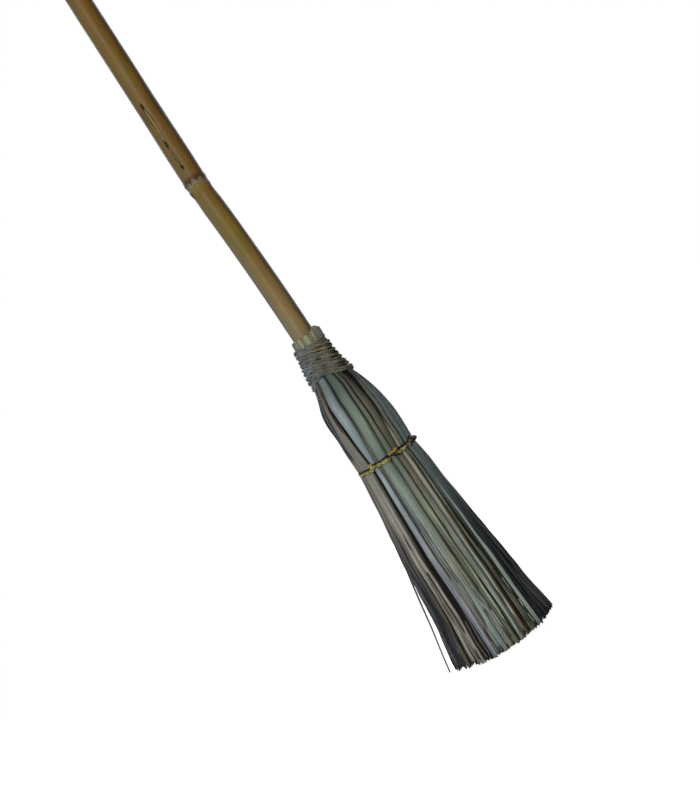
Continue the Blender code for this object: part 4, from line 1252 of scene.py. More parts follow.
@dataclass(frozen=True)
class LeafHead:
    """Every leaf round the head: eleven on the front, eight on the back and one at each edge."""

    maker: LeafMaker = LeafMaker()
    end_share: float = 0.956
    edge_strips: int = 9
    edge_loose: int = 38
    loose_pitch: float = 1.6  # the width at the floor, in millimetres, that has one loose straw
    loose_rows: int = 30
    deep: float = 1.2  # how far behind its neighbours a strip lies that no loose straw runs over
    stray_path: tuple = (
        (-35.6, 148), (-38.4, 134), (-41.9, 116), (-44.7, 101), (-47.4, 86), (-49.9, 71),
        (-52.4, 56), (-55.4, 41), (-58.3, 26), (-61.1, 10))
    loop_radius: float = 26  # how far the loops are from the head's middle, in millimetres
    loop_heights: tuple = (322, 308, 298, 288, 276, 261, 246, 236)
    loop_rows: tuple = (
        ((3.16, 3.14, 3.13, 3.13, 3.13, 3.14, 3.16, 3.17),
         (0.6, 0.6, 1.0, 1.3, 0.8, 0.5, 0, -0.8), 1.5, Tone.SLATE),
        ((3.42, 3.44, 3.44, 3.42, 3.42, 3.42, 3.43, 3.44),
         (0.3, 0.5, 0.9, 1.3, 1.1, 0.8, 0.5, -0.6), 2.6, Tone.NEAR_BLACK),
        ((3.52, 3.58, 3.62, 3.61, 3.60, 3.58, 3.56, 3.54),
         (0.3, 0.6, 0.9, 1.2, 1.2, 1.0, 0.5, -0.6), 1.0, Tone.BLUE_GREY),
        ((3.56, 3.64, 3.70, 3.69, 3.67, 3.64, 3.60, 3.57),
         (0.2, 0.5, 0.8, 1.0, 1.0, 0.8, 0.3, -0.8), 1.4, Tone.NEAR_BLACK),
        ((4.02, 4.01, 4.0, 3.99, 3.97, 3.95, 3.93, 3.92),
         (0.3, 0.6, 0.8, 0.8, 0.6, 0.3, -0.2, -0.9), 0.9, Tone.DARK_BROWN),
    )

    def materials(self) -> dict[str, bpy.types.Material]:
        """Make one finish for each leaf slot.

        Returns:
            The materials by slot.
        """
        tan = LeafFinish("tan_leaf", vein=0.22, streak=0.44, blotch=0.30, roughness=0.68)
        blue = LeafFinish("blue_grey_leaf", vein=0.18, streak=0.32, blotch=0.22, roughness=0.6)
        sage = LeafFinish("sage_leaf", vein=0.20, streak=0.38, blotch=0.26, roughness=0.64)
        return {finish.name: finish.make() for finish in (tan, blue, sage)}

    def split(
        self,
        keys: np.ndarray,
        tones: list[tuple[np.ndarray, np.ndarray]],
        sunk: list[float],
        rng: np.random.Generator,
    ) -> list[Straw]:
        """Split strips into straws of about the same width, from one height for each split.

        Args:
            keys: for each strip its two sides' bearings at the levels.
            tones: for each strip its colour above the stitching and below.
            sunk: for each strip how far it lies behind its neighbours, in millimetres.
            rng: gives the heights and the small gaps.

        Returns:
            The straws in order.
        """
        straws = []
        at_floor = np.eye(len(LEVELS))[0]
        for strip, (top, low), deep in zip(keys, tones, sunk):
            ends = HEAD.place(strip[:, 0], np.zeros(2), np.zeros(2))
            count = max(1, round(float(np.linalg.norm(ends[1] - ends[0])) / self.maker.straw_width))
            cuts = np.linspace(0, 1, count + 1)
            cuts[1:-1] += rng.uniform(-0.22, 0.22, count - 1) / count
            for number in range(count):
                sides = []
                for side, inward in ((0, 1), (1, -1)):
                    line = strip[0] + (strip[1] - strip[0]) * cuts[number + side]
                    if 0 < number + side < count:
                        spare = rng.uniform(0.03, 0.13) / count * inward
                        line = line + at_floor * (strip[1] - strip[0]) * spare
                    sides.append(line)
                if number:
                    parts = rng.uniform(28, 135)
                else:
                    parts = 222 if deep > 1 else rng.uniform(150, 214)
                shade = 1 + 0.10 * rng.normal(size=3).clip(-1, 1) * np.array([1, 0.5, 0.9])
                straws.append(Straw((sides[0], sides[1]), parts * MM, top, low * shade, deep))
        return straws

    def face_keys(self, plan: LeafPlan, facing: int) -> np.ndarray:
        """Give the bearings of each strip's sides at the levels.

        The strips share out the leaf's width above the floor in proportion to their width
        there, together with half of each gap beside them.

        Args:
            plan: where the leaf lies.
            facing: -1 for the front and 1 for the back.

        Returns:
            Strips, two sides and a bearing for each level.
        """
        floors = np.array([(s.left, s.right) for s in plan.strips])
        cuts = np.concatenate(([floors[0, 0]], (floors[1:, 0] + floors[:-1, 1]) / 2, [floors[-1, 1]]))
        parts = (cuts - cuts[0]) / (cuts[-1] - cuts[0])
        out = np.zeros((len(floors), 2, len(LEVELS)))
        for side in (0, 1):
            share = parts[side : len(floors) + side]
            out[:, side, 0] = HEAD.bearing(floors[:, side], facing)
            for key, place in enumerate((plan.stitch, plan.belly, plan.hip, plan.neck, plan.collar), 1):
                out[:, side, key] = HEAD.bearing(place[0] + (place[1] - place[0]) * share, facing)
        return out

    def back_plans(self) -> list[LeafPlan]:
        """Lay out the back: each leaf split into strips, in tones drawn at random.

        Returns:
            Eight plans.
        """
        rng = np.random.default_rng(77)
        spares = ((0.03, 0.04), (0.016, 0.02), (0.01, 0.014), (0.02, 0.03))
        plans = []
        for number, count in enumerate(BACK_STRIPS):
            left, right = BACK_EDGES[number], BACK_EDGES[number + 1]
            cuts = np.linspace(left + 0.006, right - 0.006, count + 1)
            cuts[1:-1] += rng.uniform(-0.012, 0.012, count - 1)
            strips = []
            for a, b in zip(cuts, cuts[1:]):
                own = rng.random() < 0.6
                tone = STRIP_TONES[rng.integers(len(STRIP_TONES))] if own else BACK_TONES[number]
                deep = rng.choice([0, 0, 0.3, 0.5, 1.4])
                strips.append(Strip(a, b - rng.uniform(0.002, 0.016), tone, float(deep)))
            neck, belly, stitch, hip = (
                (left + rng.uniform(0.0, at_left), right - rng.uniform(0.0, at_right))
                for at_left, at_right in spares)
            lift, tone = rng.uniform(0.1, 0.8), BACK_TONES[number]
            plans.append(LeafPlan((left, right), neck, hip, belly, stitch, tone, tuple(strips), lift))
        return plans

    def edge_keys(self, direction: int, count: int) -> np.ndarray:
        """Give the strips of the leaf that wraps one edge of the head, as bearings.

        Args:
            direction: 1 for the right edge and -1 for the left.
            count: how many strips.

        Returns:
            Strips, two sides and a bearing for each level.
        """
        reach = HEAD.bearing(self.end_share, 1)
        middle = TAU if direction > 0 else math.pi
        out = np.zeros((count, 2, len(LEVELS)))
        for key, wide in enumerate((1.32, 0.99, 0.99, 0.99, 0.99, 1.0)):
            cuts = np.linspace(middle - reach * wide, middle + reach * wide, count + 1)
            gap = 0.07 * (cuts[1] - cuts[0]) if key == 0 else 0
            out[:, 0, key] = cuts[:-1] + gap
            out[:, 1, key] = cuts[1:] - gap
        return out

    def loose(
        self,
        patch: Patchwork,
        count: int,
        between: list,
        palette: list[np.ndarray],
        rng: np.random.Generator,
    ) -> None:
        """Add narrow straws that come out from between a leaf's own and run down over them.

        Each is a ribbon on a bearing that drifts evenly, standing out of the head by a height
        that rises from below the leaves to just above them over a few centimetres.

        Args:
            patch: what they go into.
            count: how many.
            between: the first and last bearing at the floor, and those at the stitching.
            palette: the colours to draw from.
            rng: gives the rest.
        """
        each = (count, 1)
        t = np.linspace(0, 1, self.loose_rows)[None]
        start = (50 + 150 * rng.random(each) ** 1.5) * MM
        end = rng.uniform(2, 12, each) * MM
        place = rng.uniform(0.03, 0.97, each)
        (low_first, low_last), (high_first, high_last) = between
        low = low_first + (low_last - low_first) * np.clip(place + rng.normal(0, 0.06, each), 0, 1)
        high = high_first + (high_last - high_first) * place
        end = end + TIP_ARC * np.abs(np.cos(low)) ** TIP_POWER * MM
        height = start + (end - start) * t
        bearing = low + (high - low) * height / STITCH
        bearing = bearing + 0.012 * np.sin(TAU * (t * rng.uniform(0.6, 1.6, each) + rng.random(each)))
        lift = -1.6 + rng.uniform(1.9, 2.9, each) * ease(start - height, 0, 34 * MM)
        lift = lift + 0.3 * np.sin(TAU * (t * 2.2 + rng.random(each)))
        u = np.linspace(-0.5, 0.5, 3)
        wide = rng.uniform(0.5, 1.1, each)[..., None] * MM * (1 - 0.3 * t[..., None])
        wide = wide * (0.2 + 0.8 * ease(t[..., None], 0, 0.25))
        middle, half_width, half_depth = (row[..., None] for row in HEAD.at(height))
        turned = bearing[..., None] + wide * u / np.hypot(half_width, half_depth) * 1.5
        bent = (lift[..., None] - 0.25 * np.abs(2 * u)) * MM
        points = HEAD.wrap(turned, middle, half_width, half_depth, height[..., None], bent)
        tone = np.array(palette)[rng.integers(len(palette), size=count)] * rng.uniform(0.8, 1.25, each)
        lay = np.stack([wide * u + rng.random((count, 1, 1)), (start - height)[..., None] + 0 * u], -1)
        patch.add(points, lay, tone[:, None, None, :])

    def stray(self, patch: Patchwork) -> None:
        """Add the lone straw at the left edge, a ribbon along its path that narrows downwards.

        Args:
            patch: what it goes into.
        """
        knots = np.array([(x, 0.5 + 0.02 * (126 - z), z) for x, z in self.stray_path]) * MM
        line = smooth_path(knots, 3 * MM)
        t = np.linspace(0, 1, len(line))[:, None]
        u = np.linspace(-0.5, 0.5, 4)
        wide = (0.8 + 1.5 * ease(t, 0, 0.3) - 0.6 * t) * MM
        aside = np.stack([wide * u * 0.92, wide * u * 0.38, 0.35 * wide * np.abs(u)], -1)
        points = line[:, None] + aside
        tone = blend_tones(Tone.BLUE_GREY, Tone.WARM_GREY, t + 0 * u)
        lay = np.stack([wide * u + 0.4, 0.2 * t + 0 * u], -1)
        patch.add(points[None], lay[None], tone[None])

    def loops(self, patch: Patchwork) -> None:
        """Add the narrow dark leaves that bow out at the left between the lashing and the belly.

        Each is a ribbon through its own bearings, heights and distances out of the head.

        Args:
            patch: what they go into.
        """
        u = np.linspace(-0.5, 0.5, 4)
        fine = np.linspace(self.loop_heights[-1], self.loop_heights[0], 40)
        for bearings, lifts, wide, tone in self.loop_rows:
            bearing, lift = (
                np.interp(fine, self.loop_heights[::-1], row[::-1])[:, None] for row in (bearings, lifts))
            turned = bearing + wide * u / self.loop_radius
            height = fine[:, None] * MM + 0 * u
            points = HEAD.place(turned, height, (lift + 0.35 - 0.9 * np.abs(u)) * MM)
            lay = np.stack([wide * u * MM + 0.1 * wide + 0 * height, height], -1)
            patch.add(points[None, ::-1], lay[None, ::-1], tone.light())

    def faces(self, finishes: dict[str, bpy.types.Material]) -> None:
        """Make the leaves of the front and the back, each with the loose straws that run over it.

        Args:
            finishes: the material for each slot.
        """
        for word, facing, plans in (("front", -1, FRONT_PLANS), ("back", 1, self.back_plans())):
            for number, plan in enumerate(plans, 1):
                rng = np.random.default_rng(100 * (facing + 2) + number)
                keys = self.face_keys(plan, facing)
                tones = [(plan.tone.light(), strip.tone.frayed()) for strip in plan.strips]
                sunk = [strip.sunk for strip in plan.strips]
                if facing > 0:
                    keys, tones, sunk = keys[::-1, ::-1], tones[::-1], sunk[::-1]
                patch = Patchwork()
                self.maker.sheet(patch, self.split(keys, tones, sunk, rng), plan.lift, plan.sink, rng)
                first, last = int(sunk[0] > self.deep), -1 - int(sunk[-1] > self.deep)
                ends = [(keys[first, 0, level], keys[last, 1, level]) for level in (0, 1)]
                wide = FLOOR_HALF[0] * abs(plan.strips[-1].right - plan.strips[0].left)
                count = max(3, round(wide / self.loose_pitch))
                palette = [low * gain for _, low in tones for gain in (0.4, 0.85, 1.2)]
                self.loose(patch, count, ends, palette, rng)
                slot = LEAF_SLOTS[(number - 1) % 3]
                name = f"{word}_palm_leaf_{number}"
                self.maker.finish(patch, name, slot, finishes[slot], f"{word}_leaf_{number}")

    def edges(self, finishes: dict[str, bpy.types.Material]) -> None:
        """Make the leaf that wraps each edge; the left one carries the stray straw and the loops.

        Args:
            finishes: the material for each slot.
        """
        slot = "blue_grey_leaf"
        count = self.edge_strips
        for word, direction, blade in (("left", -1, Tone.GREY_TAN), ("right", 1, Tone.BLUE_GREY)):
            rng = np.random.default_rng(500 + direction)
            keys = self.edge_keys(direction, count)
            picks = [EDGE_TONES[rng.integers(len(EDGE_TONES))] for _ in range(count)]
            tones = [(blade.light(), pick.frayed()) for pick in picks]
            sunk = [float(rng.choice([0, 0.3, 0.6, 0.9])) for _ in range(count)]
            patch = Patchwork()
            self.maker.sheet(patch, self.split(keys, tones, sunk, rng), 0.2, 0.0, rng)
            ends = [(keys[0, 0, level], keys[-1, 1, level]) for level in (0, 1)]
            palette = [tone.light() for tone in (*EDGE_TONES, Tone.GREY_TAN)]
            self.loose(patch, self.edge_loose, ends, palette, rng)
            if direction < 0:
                self.stray(patch)
                self.loops(patch)
            self.maker.finish(patch, f"{word}_edge_palm_leaf", slot, finishes[slot], f"side_leaf_{word}")

    def build(self) -> None:
        """Make every leaf in turn."""
        finishes = self.materials()
        self.faces(finishes)
        self.edges(finishes)


# Bristles


@dataclass(frozen=True)
class BristleBundles:
    """The inside of the head: five bundles of thin strips, from the neck to their ragged ends."""

    borders: tuple = (-0.985, -0.535, 0.088, 0.388, 0.822, 0.985)
    pitch: float = 1.66 * MM
    rows: int = 10
    inset: float = 1.7 * MM  # how far the bundles keep inside the leaves
    push: float = 0.66  # how far the cane presses the strands out, as a share of the way
    squeeze: float = 2.2 * MM  # how far the stitching presses a bundle's sides in

    def starts(self, left: float, right: float, rng: np.random.Generator) -> np.ndarray:
        """Scatter strands over a bundle's part of the section, as shares across and deep.

        They stand on an even grid, each moved by part of its cell, and those outside the
        section's outline are dropped.

        Args:
            left, right: the bundle's sides.
            rng: moves them.

        Returns:
            Rows of two shares.
        """
        wide, deep = (half * MM for half in FLOOR_HALF)
        across = np.arange(left + 0.5 * self.pitch / wide, right, self.pitch / wide)
        depth = np.arange(-1 + 0.5 * self.pitch / deep, 1, self.pitch / deep)
        a, b = (grid.ravel() for grid in np.meshgrid(across, depth))
        a = a + rng.uniform(-0.42, 0.42, len(a)) * self.pitch / wide
        b = b + rng.uniform(-0.42, 0.42, len(b)) * self.pitch / deep
        a = np.clip(a, left + 0.006, right - 0.006)
        inside = (np.abs(a) ** HEAD.power + np.abs(b) ** HEAD.power) ** (1 / HEAD.power) < 0.985
        return np.stack([a[inside], b[inside]], -1)

    def strands(self, number: int, material: bpy.types.Material) -> None:
        """Make one bundle.

        A strand runs through a share of the section at every height. Above the cane's end the
        shares are pushed out round it. Its four corners are half its width along a level
        direction and half its thickness square to that.

        Args:
            number: the bundle's number, from 1.
            material: what its strands are made of.
        """
        rng = np.random.default_rng(900 + number)
        left, right = self.borders[number - 1], self.borders[number]
        place = self.starts(left, right, rng)
        count = len(place)
        each = (count, 1)
        a, b = place[:, :1], place[:, 1:]
        end = (TIP_ARC * np.abs(a) ** 2 + 7.0 * rng.uniform(0, 1, each) ** 1.6) * MM
        t = np.linspace(0, 1, self.rows)[None, :]
        height = INNER_TOP + (end - INNER_TOP) * t**0.85
        middle, half_width, half_depth = HEAD.at(height)
        rho = (np.abs(a) ** HEAD.power + np.abs(b) ** HEAD.power) ** (1 / HEAD.power)
        pushed = ease(height, 262 * MM, 305 * MM) * self.push
        scale = (rho + pushed * (1 - rho)) / np.maximum(rho, 0.02)
        tight = self.squeeze * bell(height, STITCH, 9 * MM)
        a_now = a + ((left + right) / 2 - a) * tight / ((right - left) / 2 * half_width)
        sway = [rng.normal(0, 1, each), rng.normal(0, 1, each)]
        bend = ease(height, 200 * MM, 0)
        wander = np.sin(t * rng.uniform(2, 7, each) + rng.uniform(0, 6, each)) * bend
        x = middle + (half_width - self.inset) * a_now * scale + (sway[0] * 0.8 * bend + wander * 0.6) * MM
        y = (half_depth - self.inset) * b * scale + (sway[1] * 0.4 * bend + wander * 0.4) * MM
        wide = rng.uniform(0.8, 1.9, each) * (1 - 0.35 * ease(height, 60 * MM, 0)) * MM
        thick = rng.uniform(0.32, 0.5, each) * MM
        turn = rng.normal(0, 0.5, each) + rng.normal(0, 0.5, each) * t
        along = np.stack([np.cos(turn), np.sin(turn), 0 * turn], -1) * (wide / 2)[..., None]
        square = np.stack([-np.sin(turn), np.cos(turn), 0 * turn], -1) * (thick / 2)[..., None]
        core = np.stack([x, y, height], -1)
        signs = ((-1, -1), (1, -1), (1, 1), (-1, 1))
        points = np.stack([core + along * side + square * face for side, face in signs], 2)
        slant = rng.uniform(-0.7, 0.7, each) * MM * (t > 0.99)
        points[..., 2] += slant[..., None] * np.array([side for side, _ in signs])
        points[..., 2] = np.maximum(points[..., 2], 0)
        picks = rng.integers(len(INNER_TONES), size=count)
        colours = np.array([tone.light() for tone in INNER_TONES])[picks] * rng.uniform(0.7, 1.2, each)
        # Painted shade: the strands are darker higher up, inside the head where the leaves shade them.
        shade = 0.95 - 0.77 * ease(height, 10 * MM, 120 * MM)
        tones = np.broadcast_to(colours[:, None, None, :] * shade[..., None, None], points.shape)
        ring = np.array([0, 1, 1.3, 2.3, 2.6]) * 1.4 * MM
        lay_u = rng.uniform(0, 3, (count, 1, 1)) + ring[None, None, :] + 0 * t[..., None]
        lay_v = np.broadcast_to((INNER_TOP - height)[..., None], lay_u.shape)
        patch = Patchwork()
        patch.add(points, np.stack([lay_u, lay_v], -1), tones, wrap=True, caps=True, flip=True)
        piece = patch.build(f"bristles_{number}")
        settle(piece, material, "inner_leaf", f"bristle_bundle_{number}")

    def build(self) -> None:
        """Make the five bundles."""
        finish = LeafFinish("inner_leaf", vein=0.14, streak=0.2, blotch=0.25, roughness=0.66, specular=0.16)
        material = finish.make()
        for number in range(1, len(self.borders)):
            self.strands(number, material)


# Cords


def twisted(
    patch: Patchwork,
    path: np.ndarray,
    reference: tuple,
    size: float,
    plies: int,
    twist: float,
    tones: np.ndarray,
    rng: np.random.Generator,
    sides: int = 8,
    rough: float = 0.12,
) -> None:
    """Add a cord of twisted plies along a path.

    Each ply's middle circles the path by the distance from the start over the twist, and the ply
    is a ring of points round that middle, pushed in and out a little by noise.

    Args:
        patch: what the plies go into.
        path: the points of the cord's middle.
        reference: a direction that is never along the path, from which the rings are set.
        size: the cord's diameter.
        plies: how many plies.
        twist: the length of one turn of a ply.
        tones: a colour for each point of the path.
        rng: gives the roughness.
        sides: how many points a ring has.
        rough: how uneven a ply is, as a share of its radius.
    """
    step = np.linalg.norm(np.diff(path, axis=0), axis=1)
    along = np.concatenate(([0], np.cumsum(step)))
    tangent = unit(np.gradient(path, axis=0))
    up = np.array(reference, float)
    normal = unit(up - (tangent @ up)[:, None] * tangent)
    other = np.cross(tangent, normal)
    ply_radius = size * PLY_SHARE
    circle = size / 2 - ply_radius
    number = np.arange(plies)[:, None]
    turn = TAU * (along[None, :] / twist + number / plies)
    middle = path[None] + circle * (np.cos(turn)[..., None] * normal + np.sin(turn)[..., None] * other)
    ends = ease(along, 0, size * 0.6) * ease(along, along[-1], along[-1] - size * 0.6)
    uneven = 1 + rough * rng.normal(0, 1, (plies, len(path), sides)).clip(-1.8, 1.8)
    radius = ply_radius * uneven * (0.25 + 0.75 * ends)[None, :, None]
    angle = (turn[..., None] + TAU * np.arange(sides) / sides)[..., None]
    ring = np.cos(angle) * normal[None, :, None] + np.sin(angle) * other[None, :, None]
    points = middle[:, :, None] + radius[..., None] * ring
    lay_u = np.arange(sides + 1) / sides * TAU * ply_radius + number[..., None] * 0.1
    lay_u = np.broadcast_to(lay_u, (plies, len(path), sides + 1))
    lay_v = np.broadcast_to(along[None, :, None], lay_u.shape)
    shade = 1 + 0.14 * rng.normal(0, 1, (plies, 1, 1)).clip(-1, 1) + 0 * radius
    colours = tones[None, :, None, :] * shade[..., None]
    patch.add(points, np.stack([lay_u, lay_v], -1), colours, wrap=True, caps=True, flip=True)


def smooth_path(points: np.ndarray, step: float) -> np.ndarray:
    """Give evenly spaced points on a smooth line through some points.

    Between two points the line is the cubic that has, at each, half the difference of the
    points before and after as its slope.

    Args:
        points: what the line passes through.
        step: the spacing in metres.

    Returns:
        The points of the line.
    """
    padded = np.concatenate((points[:1] * 2 - points[1:2], points, points[-1:] * 2 - points[-2:-1]))
    p0, p1, p2, p3 = padded[:-3], padded[1:-2], padded[2:-1], padded[3:]
    t = np.linspace(0, 1, 24, endpoint=False)[None, :, None]
    parts = [2 * p1[:, None], (p2 - p0)[:, None] * t]
    parts.append((2 * p0 - 5 * p1 + 4 * p2 - p3)[:, None] * t**2)
    parts.append((3 * p1 - p0 - 3 * p2 + p3)[:, None] * t**3)
    line = np.concatenate(((sum(parts) / 2).reshape(-1, 3), points[-1:]))
    gone = np.concatenate(([0], np.cumsum(np.linalg.norm(np.diff(line, axis=0), axis=1))))
    even = np.linspace(0, gone[-1], max(int(gone[-1] / step), 8))
    return np.stack([np.interp(even, gone, line[:, axis]) for axis in range(3)], -1)


@dataclass(frozen=True)
class Lashing:
    """Twisted palm twine round the neck: a close layer of turns, then a few that cross it."""

    diameter: float = 2.7 * MM
    turns: float = 14.0
    start: float = math.radians(20)
    crossing_turns: float = 8.0
    crossing_lift: float = 1.45 * MM
    turn_points: int = 118
    fibre_count: int = 190
    tie_size: float = 2.2 * MM
    tie_radius: float = 12.95 * MM  # of the leaves' tails under the tie
    tie_top: float = 332.0  # in millimetres
    tie_drop: float = 5.5  # in millimetres, over its two turns
    flecks: tuple = (  # the place, width and height of each in millimetres, its tone and strength
        (7, 352, 6, 3.0, Tone.TWINE_STRAW, 0.8), (3, 331, 3, 1.6, Tone.TWINE_RUST, 0.7),
        (8, 332, 4, 1.8, Tone.TWINE_LILAC, 0.7), (-12, 350, 3, 4, Tone.TWINE_RUST, 0.35),
        # the near-black flecks are painted shadow in the gaps between the turns
        (-5.5, 328.2, 6, 1.0, Tone.NEAR_BLACK, 0.8), (17, 327, 5, 1.0, Tone.NEAR_BLACK, 0.8),
        (-0.5, 345.2, 4, 0.9, Tone.NEAR_BLACK, 0.85), (-11, 346, 3, 0.8, Tone.NEAR_BLACK, 0.8),
    )

    def tones(self, path: np.ndarray, rng: np.random.Generator) -> np.ndarray:
        """Give the twine's colour along a path: greyer on the left, browner and darker with painted shade on
        the right, in lengths.

        Args:
            path: the points.
            rng: gives the lengths.

        Returns:
            A colour for each point.
        """
        along = np.linspace(0, 1, len(path))
        x, z = path[:, 0] / MM, path[:, 2] / MM
        base = blend_tones(Tone.TWINE_BLUE, Tone.TWINE_GREY, ease(x, -18, -4))
        base = blend_tones(base, Tone.TWINE_TAN, 0.8 * ease(x, -10, 16))
        brown = np.clip(ripple(along, rng, 5, 18), 0, 1)
        base = blend_tones(base, Tone.TWINE_BROWN, 0.6 * brown)
        lilac = np.clip(ripple(along, rng, 4, 31) - 0.25, 0, 1)
        base = blend_tones(base, Tone.TWINE_LILAC, 0.8 * lilac)
        for at, level, wide, tall, tone, strength in self.flecks:
            fleck = bell(x, at, wide) * bell(z, level, tall) * (path[:, 1] < 0)
            base = blend_tones(base, tone, strength * fleck)
        # Painted shade: the twine is darker on the right side, away from the light; the ripple gives lighter
        # and darker lengths.
        shade = (1.08 - 0.35 * ease(x, 12, 19)) * (1 + 0.24 * ripple(along, rng, 5, 12))
        return base * shade[:, None]

    def limits(self, bearing: np.ndarray) -> tuple[np.ndarray, np.ndarray]:
        """Give the winding's upper and lower edge round the neck; the lower one rises on the front.

        Args:
            bearing: the direction.

        Returns:
            Two heights in metres.
        """
        across = np.cos(bearing)
        top = 362.6 + 2.2 * np.maximum(across, 0) ** 3 + 0.8 * np.maximum(-across, 0) ** 3
        shares = (-1, -0.9, -0.76, -0.2, 0.1, 0.45, 0.75, 1)
        front = np.interp(across, shares, (318, 318.6, 325.6, 327.2, 325, 322, 320.5, 319.4))
        facing = ease(-np.sin(bearing), 0.05, 0.45)
        return top * MM, (319.2 + (front - 319.2) * facing) * MM

    def path(
        self, turns: float, share: tuple, lift: float, drop: float, start: float, seed: int
    ) -> np.ndarray:
        """Give a winding round the neck.

        The bearing grows evenly, and the height goes evenly from one share of the way between
        the two edges to another, with a slope across the front that the back takes up again,
        and some waver.

        Args:
            turns: how many turns.
            share: where between the edges it starts and ends, 0 being the upper edge.
            lift: how far its middle is from the leaves.
            drop: how much further it falls across the front than evenly.
            start: the first bearing.
            seed: of the waver.

        Returns:
            The points.
        """
        rng = np.random.default_rng(seed)
        t = np.linspace(0, 1, int(turns * self.turn_points))
        bearing = start + TAU * turns * t
        top, foot = self.limits(bearing)
        height = top + (foot - top) * (share[0] + (share[1] - share[0]) * t)
        height = height - drop * np.cos(bearing) / 2 * ease(-np.sin(bearing), -0.7, 0.5)
        height = height + 0.75 * MM * ripple(t * turns, rng, 4, 0.9)
        height = np.clip(height, foot - 0.4 * MM, top + 0.5 * MM)
        out = lift + 0.32 * MM * ripple(t * turns, rng, 4, 1.3)
        return HEAD.place(bearing, height, out)

    def build(self) -> None:
        """Wind the twine, add the loose fibres that stand out of it, and dress it."""
        rng = np.random.default_rng(12)
        patch = Patchwork()
        radius = self.diameter / 2
        inner = self.path(self.turns, (0, 1), radius + 0.25 * MM, 0.0, self.start, 3)
        lift = radius + self.crossing_lift
        outer = self.path(self.crossing_turns, (0.1, 0.93), lift, 9 * MM, self.start + 2.0, 8)
        for path in (inner, outer):
            tones = self.tones(path, rng)
            twisted(patch, path, (0, 0, 1), self.diameter, 3, 11 * MM, tones, rng, sides=7, rough=0.09)
        self.fibres(patch, np.concatenate((inner, outer)), rng)
        piece = patch.build("lashing")
        material = CordFinish("twine", thread=0.26, length_tone=0.26).make()
        settle(piece, material, "twine", "lashing_twine")
        ring = self.tie()
        tie = Patchwork()
        colour = np.broadcast_to(Tone.TWINE_TAN.light(), ring.shape)
        twisted(tie, ring, (0, 0, 1), self.tie_size, 3, 7 * MM, colour, rng, sides=6)
        settle(tie.build("first_tie"), material, "twine", "inner_tie")

    def tie(self) -> np.ndarray:
        """Give the two turns that hold the leaves' tails to the cane, inside the neck.

        Returns:
            The points.
        """
        t = np.linspace(0, 1, 150)
        middle, half, lift = (np.full_like(t, size) for size in (NECK_MIDDLE, self.tie_radius, 1.2 * MM))
        height = (self.tie_top - self.tie_drop * t) * MM
        return HEAD.wrap(0.4 + 2 * TAU * t, middle, half, half, height, lift)

    def fibres(self, patch: Patchwork, path: np.ndarray, rng: np.random.Generator) -> None:
        """Add short loose fibres, each a thin three-sided tube that leaves the twine and curls.

        Args:
            patch: what they go into.
            path: the windings' points, from which they start.
            rng: picks the places and directions.
        """
        count = self.fibre_count
        each = (count, 1)
        at = rng.integers(5, len(path) - 5, count)
        start = path[at]
        outward = unit((start - np.array([NECK_MIDDLE, 0, 0])) * np.array([1, 1, 0]))
        tangent = unit(path[at + 4] - path[at - 4])
        lean = tangent * rng.uniform(0.4, 1.2, each) + outward * rng.uniform(0.3, 0.8, each)
        lean[:, 2] += rng.normal(0, 0.4, count)
        t = np.linspace(0, 1, 6)[None, :, None]
        length = rng.uniform(1.4, 3.6, (count, 1, 1)) * MM
        curl = rng.normal(0, 0.35, (count, 1, 3))
        line = start[:, None] + outward[:, None] * 1.2 * MM + length * (lean[:, None] * t + curl * t**2)
        angle = (TAU * np.arange(3) / 3)[:, None]
        radius = 0.16 * MM * (1 - 0.6 * t)[..., None]
        ring = np.cos(angle) * outward[:, None, None] + np.sin(angle) * np.array([0, 0, 1.0])
        points = line[:, :, None] + radius * ring
        colour = blend_tones(Tone.TWINE_GREY, Tone.TWINE_BROWN, rng.random(count))
        lay_u = np.broadcast_to(np.arange(4) * 0.2 * MM, (count, 6, 4))
        lay = np.stack([lay_u, np.broadcast_to(t * 4 * MM, lay_u.shape)], -1)
        patch.add(points, lay, colour[:, None, None, :], wrap=True, caps=True, flip=True)


